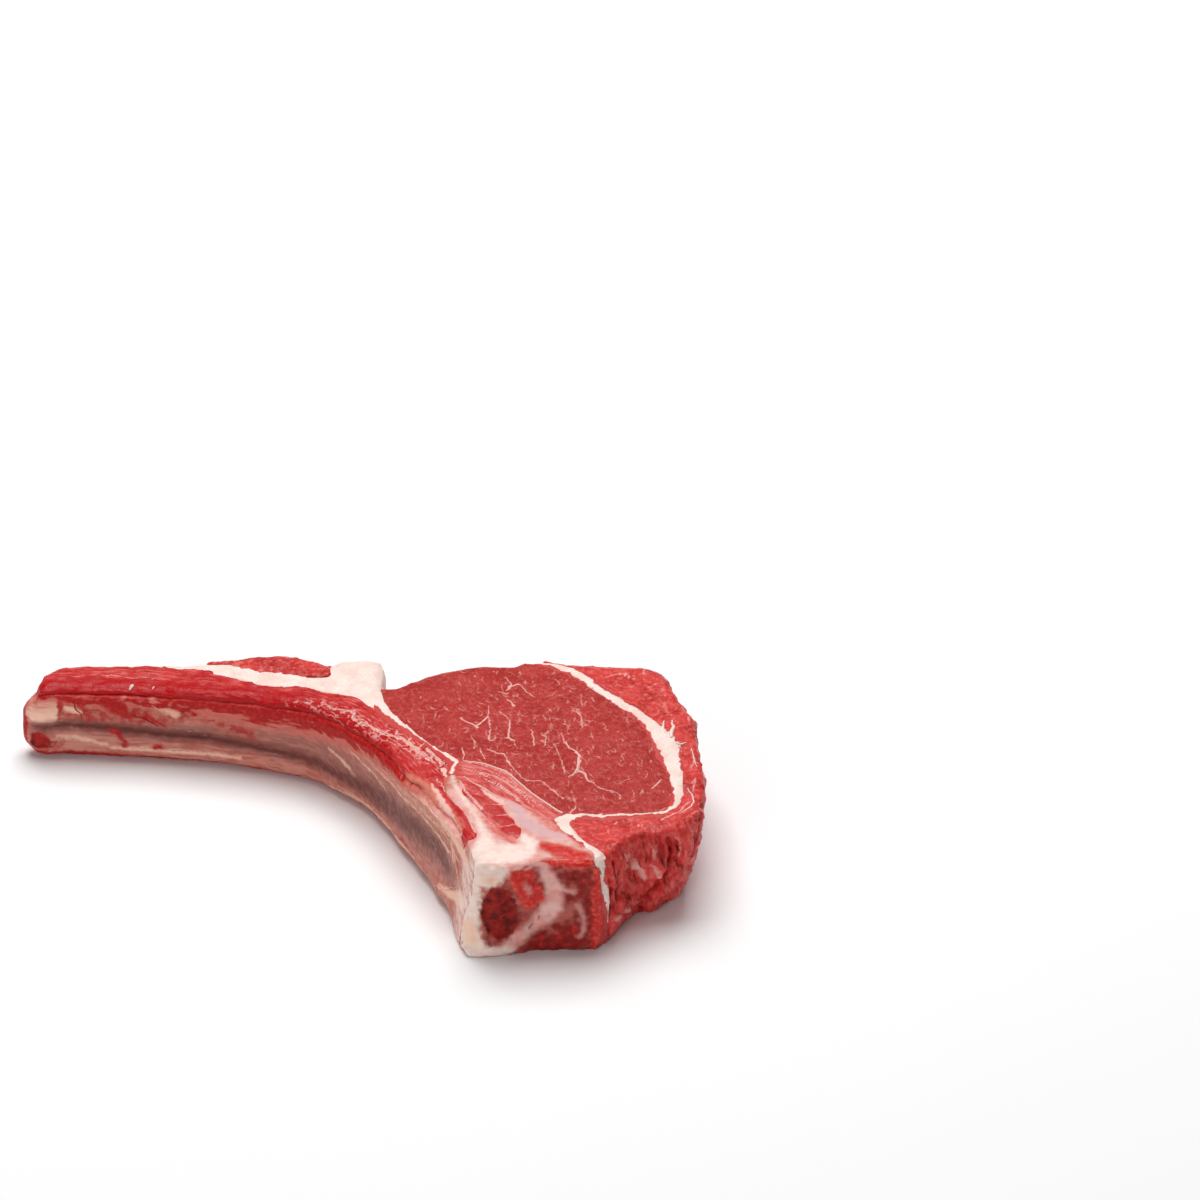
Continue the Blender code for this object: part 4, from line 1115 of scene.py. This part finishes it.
RIB_RED = (0.58, 0.034, 0.032)
RIB_LIGHT = (0.75, 0.125, 0.112)
RIB_DEEP = (0.46, 0.006, 0.008)
RIB_SALMON = (0.80, 0.24, 0.17)
RIB_VEINS = [
    ((0.1, 0.18, 0.14), [(-7.8, 19.5), (-5.5, 17.4), (-3.3, 16.4), (-1.5, 15.5), (-1.8, 13.7),
        (0.4, 12.8)]),
    ((0.16, 0.22, 0.18), [(-0.7, 12), (1.5, 10.8), (4.1, 8), (6.7, 6.3), (8.5, 4.8), (11.1, 1.9)]),
    ((0.16, 0.1), [(4.1, 8), (5.2, 8.9)]),
    ((0.16, 0.2, 0.2), [(8.2, 5.4), (9.6, 2.8), (11.9, -0.1), (14.1, -2.9)]),
    ((0.22, 0.26), [(12.5, 1.6), (14, -0.6), (15.5, -3.3)]),
    ((0.2, 0.16), [(11.4, 5.4), (12, 4.1), (10.4, 1.4)]),
    ((0.16, 0.12), [(9.4, 7), (8.9, 5)]),
    ((0.14, 0.12), [(7, 9.2), (6.4, 7)]),
    ((0.16, 0.12), [(14.2, 1.6), (13.2, -1.4)]),
    ((0.18, 0.14), [(16.6, -2.6), (15, -4.2)]),
    ((0.5, 0.9, 0.7, 0.6), [(15.6, -5.2), (16.8, -7.6), (17.6, -10), (18.2, -12.6)]),
    ((0.02, 0.06, 0.02), [(-56, 31.2), (-50, 31.6), (-44, 30.6), (-38, 30.2)]),
    ((0.12, 0.26, 0.34, 0.5), [(14.6, -8), (17, -13), (20, -19), (22.2, -24.5)]),
    ((0.2, 0.5, 0.7), [(13.6, -9.2), (15.4, -14), (17.3, -19), (18.7, -24)]),
    ((0.3, 0.5, 0.6), [(15.8, -14.6), (17.4, -19.4), (18.8, -25)]),
]
RIB_NET = [
    ((0.5, 1.4, 2, 2.2, 2, 1.8, 1.2), [(-14, 20.6), (-8, 19), (-2, 14.6), (3, 9.8), (8, 4.2), (12.4, -0.8),
        (15.6, -4.6)]),
]
RIB_EDGE = [
    ((3, 3.4, 3.2, 2.8, 2.5, 2.4, 2, 1.4, 1, 0.6, 0.4), [(-62, 27.2), (-51, 27.2), (-41, 26.4), (-31, 25.2),
        (-21.5, 23.2), (-12, 20), (-4.5, 15), (1.2, 8.5), (5.5, 2.4), (9, -4), (12.5, -9)]),
]
RIB_SALMON_RUN = [
    ((0.6, 1, 0.7), [(8.6, -4.6), (11.8, -9), (14.6, -13)]),
    ((0.6, 0.8, 0.7), [(14.4, -13), (16.8, -17.6), (18.9, -22.6)]),
]
RIB_BLOCKS = [
    (9.7, 4.4, 1, 0.7, -55), (11.8, 1.9, 1.2, 0.7, -55), (14.2, -1.2, 1.3, 0.7, -50),
    (16, -3.6, 1.2, 0.8, -40), (19.3, -17.4, 3, 0.6, -62), (21, -22.4, 2.4, 0.5, -66),
]
FLECK_TAGS = [
    ((0.16, 0.42, 0.16), [(-44.8, 27.1, 15.3), (-44.4, 27.7, 15.6), (-44.1, 28.3, 15.8)]),
    ((0.08, 0.18, 0.08), [(-40.4, 27.1, 15.5), (-40.1, 27.8, 15.7)]),
]
FLECK_WHITE = (0.97, 0.74, 0.70)


def rib_finish():
    """Fibres drawn out along the rib."""
    f = Finish("rib_lean", shine=0.16)
    fibres = f.cloud(f.flow((2.6, 0.40, 0.55)), 4.0)
    f.colour = f.mottled(RIB_RED, RIB_DEEP, 0.35, 0.7, 4.0)
    f.cover(f.step(fibres, 0.47, 0.70), RIB_LIGHT)
    f.paint("hollow", f.mix(f.step(fibres, 0.5, 0.8), RIB_DEEP, RIB_RED), 0.8, 0.4, 1.2)
    f.paint("salmon", RIB_SALMON, 0.6, 0.5, 1.2)
    blocks = f.cells(f.shaken(f.flow((2.3, 0.95, 1.4)), 1.1, 0.8))
    netted = f.ragged("net", 0.8, 0.4, 1.0)
    f.cover(f.times(netted, f.step(blocks, 0.14, 0.34, 0.7)), RIB_DEEP)
    webbed = f.times(f.step(blocks, 0.14, 0.02), f.step(f.cloud(1.2), 0.44, 0.58))
    f.cover(f.times(webbed, f.times(netted, 0.62)), VEIN_FAT)
    f.paint("pale", FLECK_FAT, 0.7, 0.4, 1.2, 0.6)
    f.paint("vein", VEIN_FAT, 0.16, 0.18, 0.5)
    f.bump(fibres, 0.09)
    f.bump(f.cloud(0.4, 2.0), 0.05)
    return f.done(0.22, 0.48, 0.9, 3.0, 0.15)


rib_laps = {"bone": 0.5, "rib_fat": 1.0, "flank_meat": 1.0, "chine_muscle": 1.0}
rib = fine_skin("rib_meat", rib_laps, 0.32)
places, normals = roughen(rib, 0.05, face=0.2, wall=0.22, grain=(4.0, 2.2, 2.2))
run, off = along(places, RIB_LINE)
lip = inner_side(normals, 0.5) * (off < 1.0)
over_lip = places[:, 2] - np.interp(run, LIP_RUN, LIP_HEIGHT)
tuck = 0.30 * lip * rise(over_lip, 0.9, -0.2) * (1 + 0.9 * noise(places, 3.0, 71)) * rise(run, 100, 92)
places = places - normals * tuck[:, None]
move_to(rib, places)
x, y = wobbled(places, 0.3, 1.4)
below = normals[:, 2] < 0.2
# a deeper red along the front edge of the top and down the inner wall by the bone, and in blocks within the
# net
edge = np.maximum(strokes(x, y, RIB_EDGE, 2.5), -1.0 + 1.3 * lip) * (x < 12)
write(rib, hollow=edge + spots(x, y, RIB_BLOCKS, 1.5) * (x >= 6), pale=films(rib, 1.3, 97),
      vein=strokes(x, y, RIB_VEINS, 0.8) - 0.8 * below, net=strokes(x, y, RIB_NET, 2.0) - 2.0 * below,
      salmon=strokes(x, y, RIB_SALMON_RUN, 1.5) - 2.0 * (normals[:, 2] < -0.2))
write_flow(rib, run, off, places[:, 2])
dress(rib, rib_finish(), "rib_meat")
fleck_fat = thread_finish("fleck_fat", FLECK_WHITE, FAT_CREAM)
threads("fat_flecks", FLECK_TAGS, rib, fleck_fat, 0.1, 1.0, 0.5)
sinews = [([0.6 * radius for radius in radii], path) for radii, path in RIB_VEINS[:10]]
threads("rib_threads", sinews, rib, fat_thread, 0.5, 1.2, 0.0)

# ---- Rib fat -----------------------------------------------------------------------------------
# The smooth white fat behind the rib meat, with its upright flap and a tail down beside the eye.

FAT_RUN = [
    ((1.4, 1.6, 2, 3.5, 5, 2.6, 1.2, 0.9, 0.75, 0.6, 0.5, 0.4), [(-43, 35.4), (-34, 34.4), (-24, 31.4),
        (-12, 28.6), (-2, 28), (2.2, 22.5), (4.2, 17), (6.8, 12.4), (10.2, 7.8), (13.2, 3.6), (15.8, -0.2),
        (18.2, -3.8)]),
    ((0.22, 0.3), [(18, -3.6), (17.4, -7)]),
]
fat = fine_skin("rib_fat", 0.6, 0.34)
places, normals = roughen(fat, 0.12, face=0.10, wall=0.2, grain=(3.0, 3.0, 3.0))
x, y = wobbled(places, 0.25, 1.4)
at_back = (normals[:, 1] > 0.3) & (np.abs(normals[:, 2]) < 0.7)
back_fat = back_border(places, at_back, ("rib_meat", "flank_meat"), 2.9, 1.0, 0.9, 1.25, (3.6, 3.6, 4.4), 45)
on_cut = np.where((x > 2) & (y < 21), strokes(x, y, FAT_RUN, 2.0), 2.0) + 3 * (normals[:, 2] < 0.3)
write(fat, fat=np.minimum(on_cut, back_fat))
dress(fat, fat_finish("rib_fat", 0.2), "rib_fat")

# ---- Flank meat --------------------------------------------------------------------------------
# The small bright red muscle on the back of the rib fat, lumpy along its free edge.

FLANK_RED = (0.62, 0.036, 0.030)
FLANK_LIGHT = (0.78, 0.15, 0.13)
FLANK_DEEP = (0.42, 0.010, 0.009)
flank = fine_skin("flank_meat", 0.9, rim=16)
places, _ = roughen(flank, 0.28, face=0.35, wall=0.4, grain=(1.8, 1.8, 2.6))
write(flank, vein=np.full(len(places), -0.6), pale=films(flank, 1.4, 99),
      hollow=0.8 * layered(places, 1.8, 33, 2) - 0.5)
dress(flank, lean_finish("flank_lean", FLANK_RED, FLANK_LIGHT, FLANK_DEEP), "flank_meat")

# ---- Studio ------------------------------------------------------------------------------------
# A plain pale floor, a broad soft light overhead and a little behind, and even light all round.

FLOOR_WHITE = (0.965, 0.965, 0.965)
FLOOR_LIGHT = (0.975, 0.975, 0.975)
FLOOR_HALF = 4.0              # metres, as every size of the studio
OVERHEAD_PLACE = (-0.02, 0.34, 0.9)
OVERHEAD_SIZE = 0.7
OVERHEAD_POWER = 9.7
FILL_PLACE = (-0.45, -1.0, 0.45)
FILL_SIZE = 0.6
FILL_POWER = 3.0
EVEN_LIGHT = 0.17
LENS = 253.92                 # millimetres
CAMERA_PLACE = (0.0451, -1.2876, 0.9569)
CAMERA_TILT = 55              # degrees

floor_mesh = bpy.data.meshes.new("floor")
floor_corners = [(a * FLOOR_HALF, b * FLOOR_HALF, 0) for a, b in ((-1, -1), (1, -1), (1, 1), (-1, 1))]
floor_mesh.from_pydata(floor_corners, [], [(0, 1, 2, 3)])
floor = placed("floor", floor_mesh)
paper = Finish("floor_paper", 0.0, 0.2)
paper.colour = paper.mix(paper.cloud(60.0, 2.0), FLOOR_WHITE, FLOOR_LIGHT)
floor.data.materials.append(paper.done(0.8))


def soft_light(name, place, size, power):
    """A square area light pointed at the middle of the chop."""
    lamp = bpy.data.lights.new(name, "AREA")
    lamp.size = size
    lamp.energy = power
    obj = placed(name, lamp)
    obj.location = place
    obj.rotation_euler = (-Vector(place)).to_track_quat("-Z", "Y").to_euler()


soft_light("overhead", OVERHEAD_PLACE, OVERHEAD_SIZE, OVERHEAD_POWER)
soft_light("front_fill", FILL_PLACE, FILL_SIZE, FILL_POWER)
world = bpy.data.worlds.new("studio")
world.use_nodes = True
sky = world.node_tree.nodes["Background"]
sky.inputs["Color"].default_value = (1.0, 1.0, 1.0, 1.0)
sky.inputs["Strength"].default_value = EVEN_LIGHT
bpy.context.scene.world = world
bpy.context.scene.view_settings.view_transform = "Standard"

lens = bpy.data.cameras.new("camera")
lens.lens = LENS
lens.sensor_width = 36.0
lens.clip_end = 20.0
camera = placed("camera", lens)
camera.location = CAMERA_PLACE
camera.rotation_euler = (math.radians(CAMERA_TILT), 0, 0)
bpy.context.scene.camera = camera
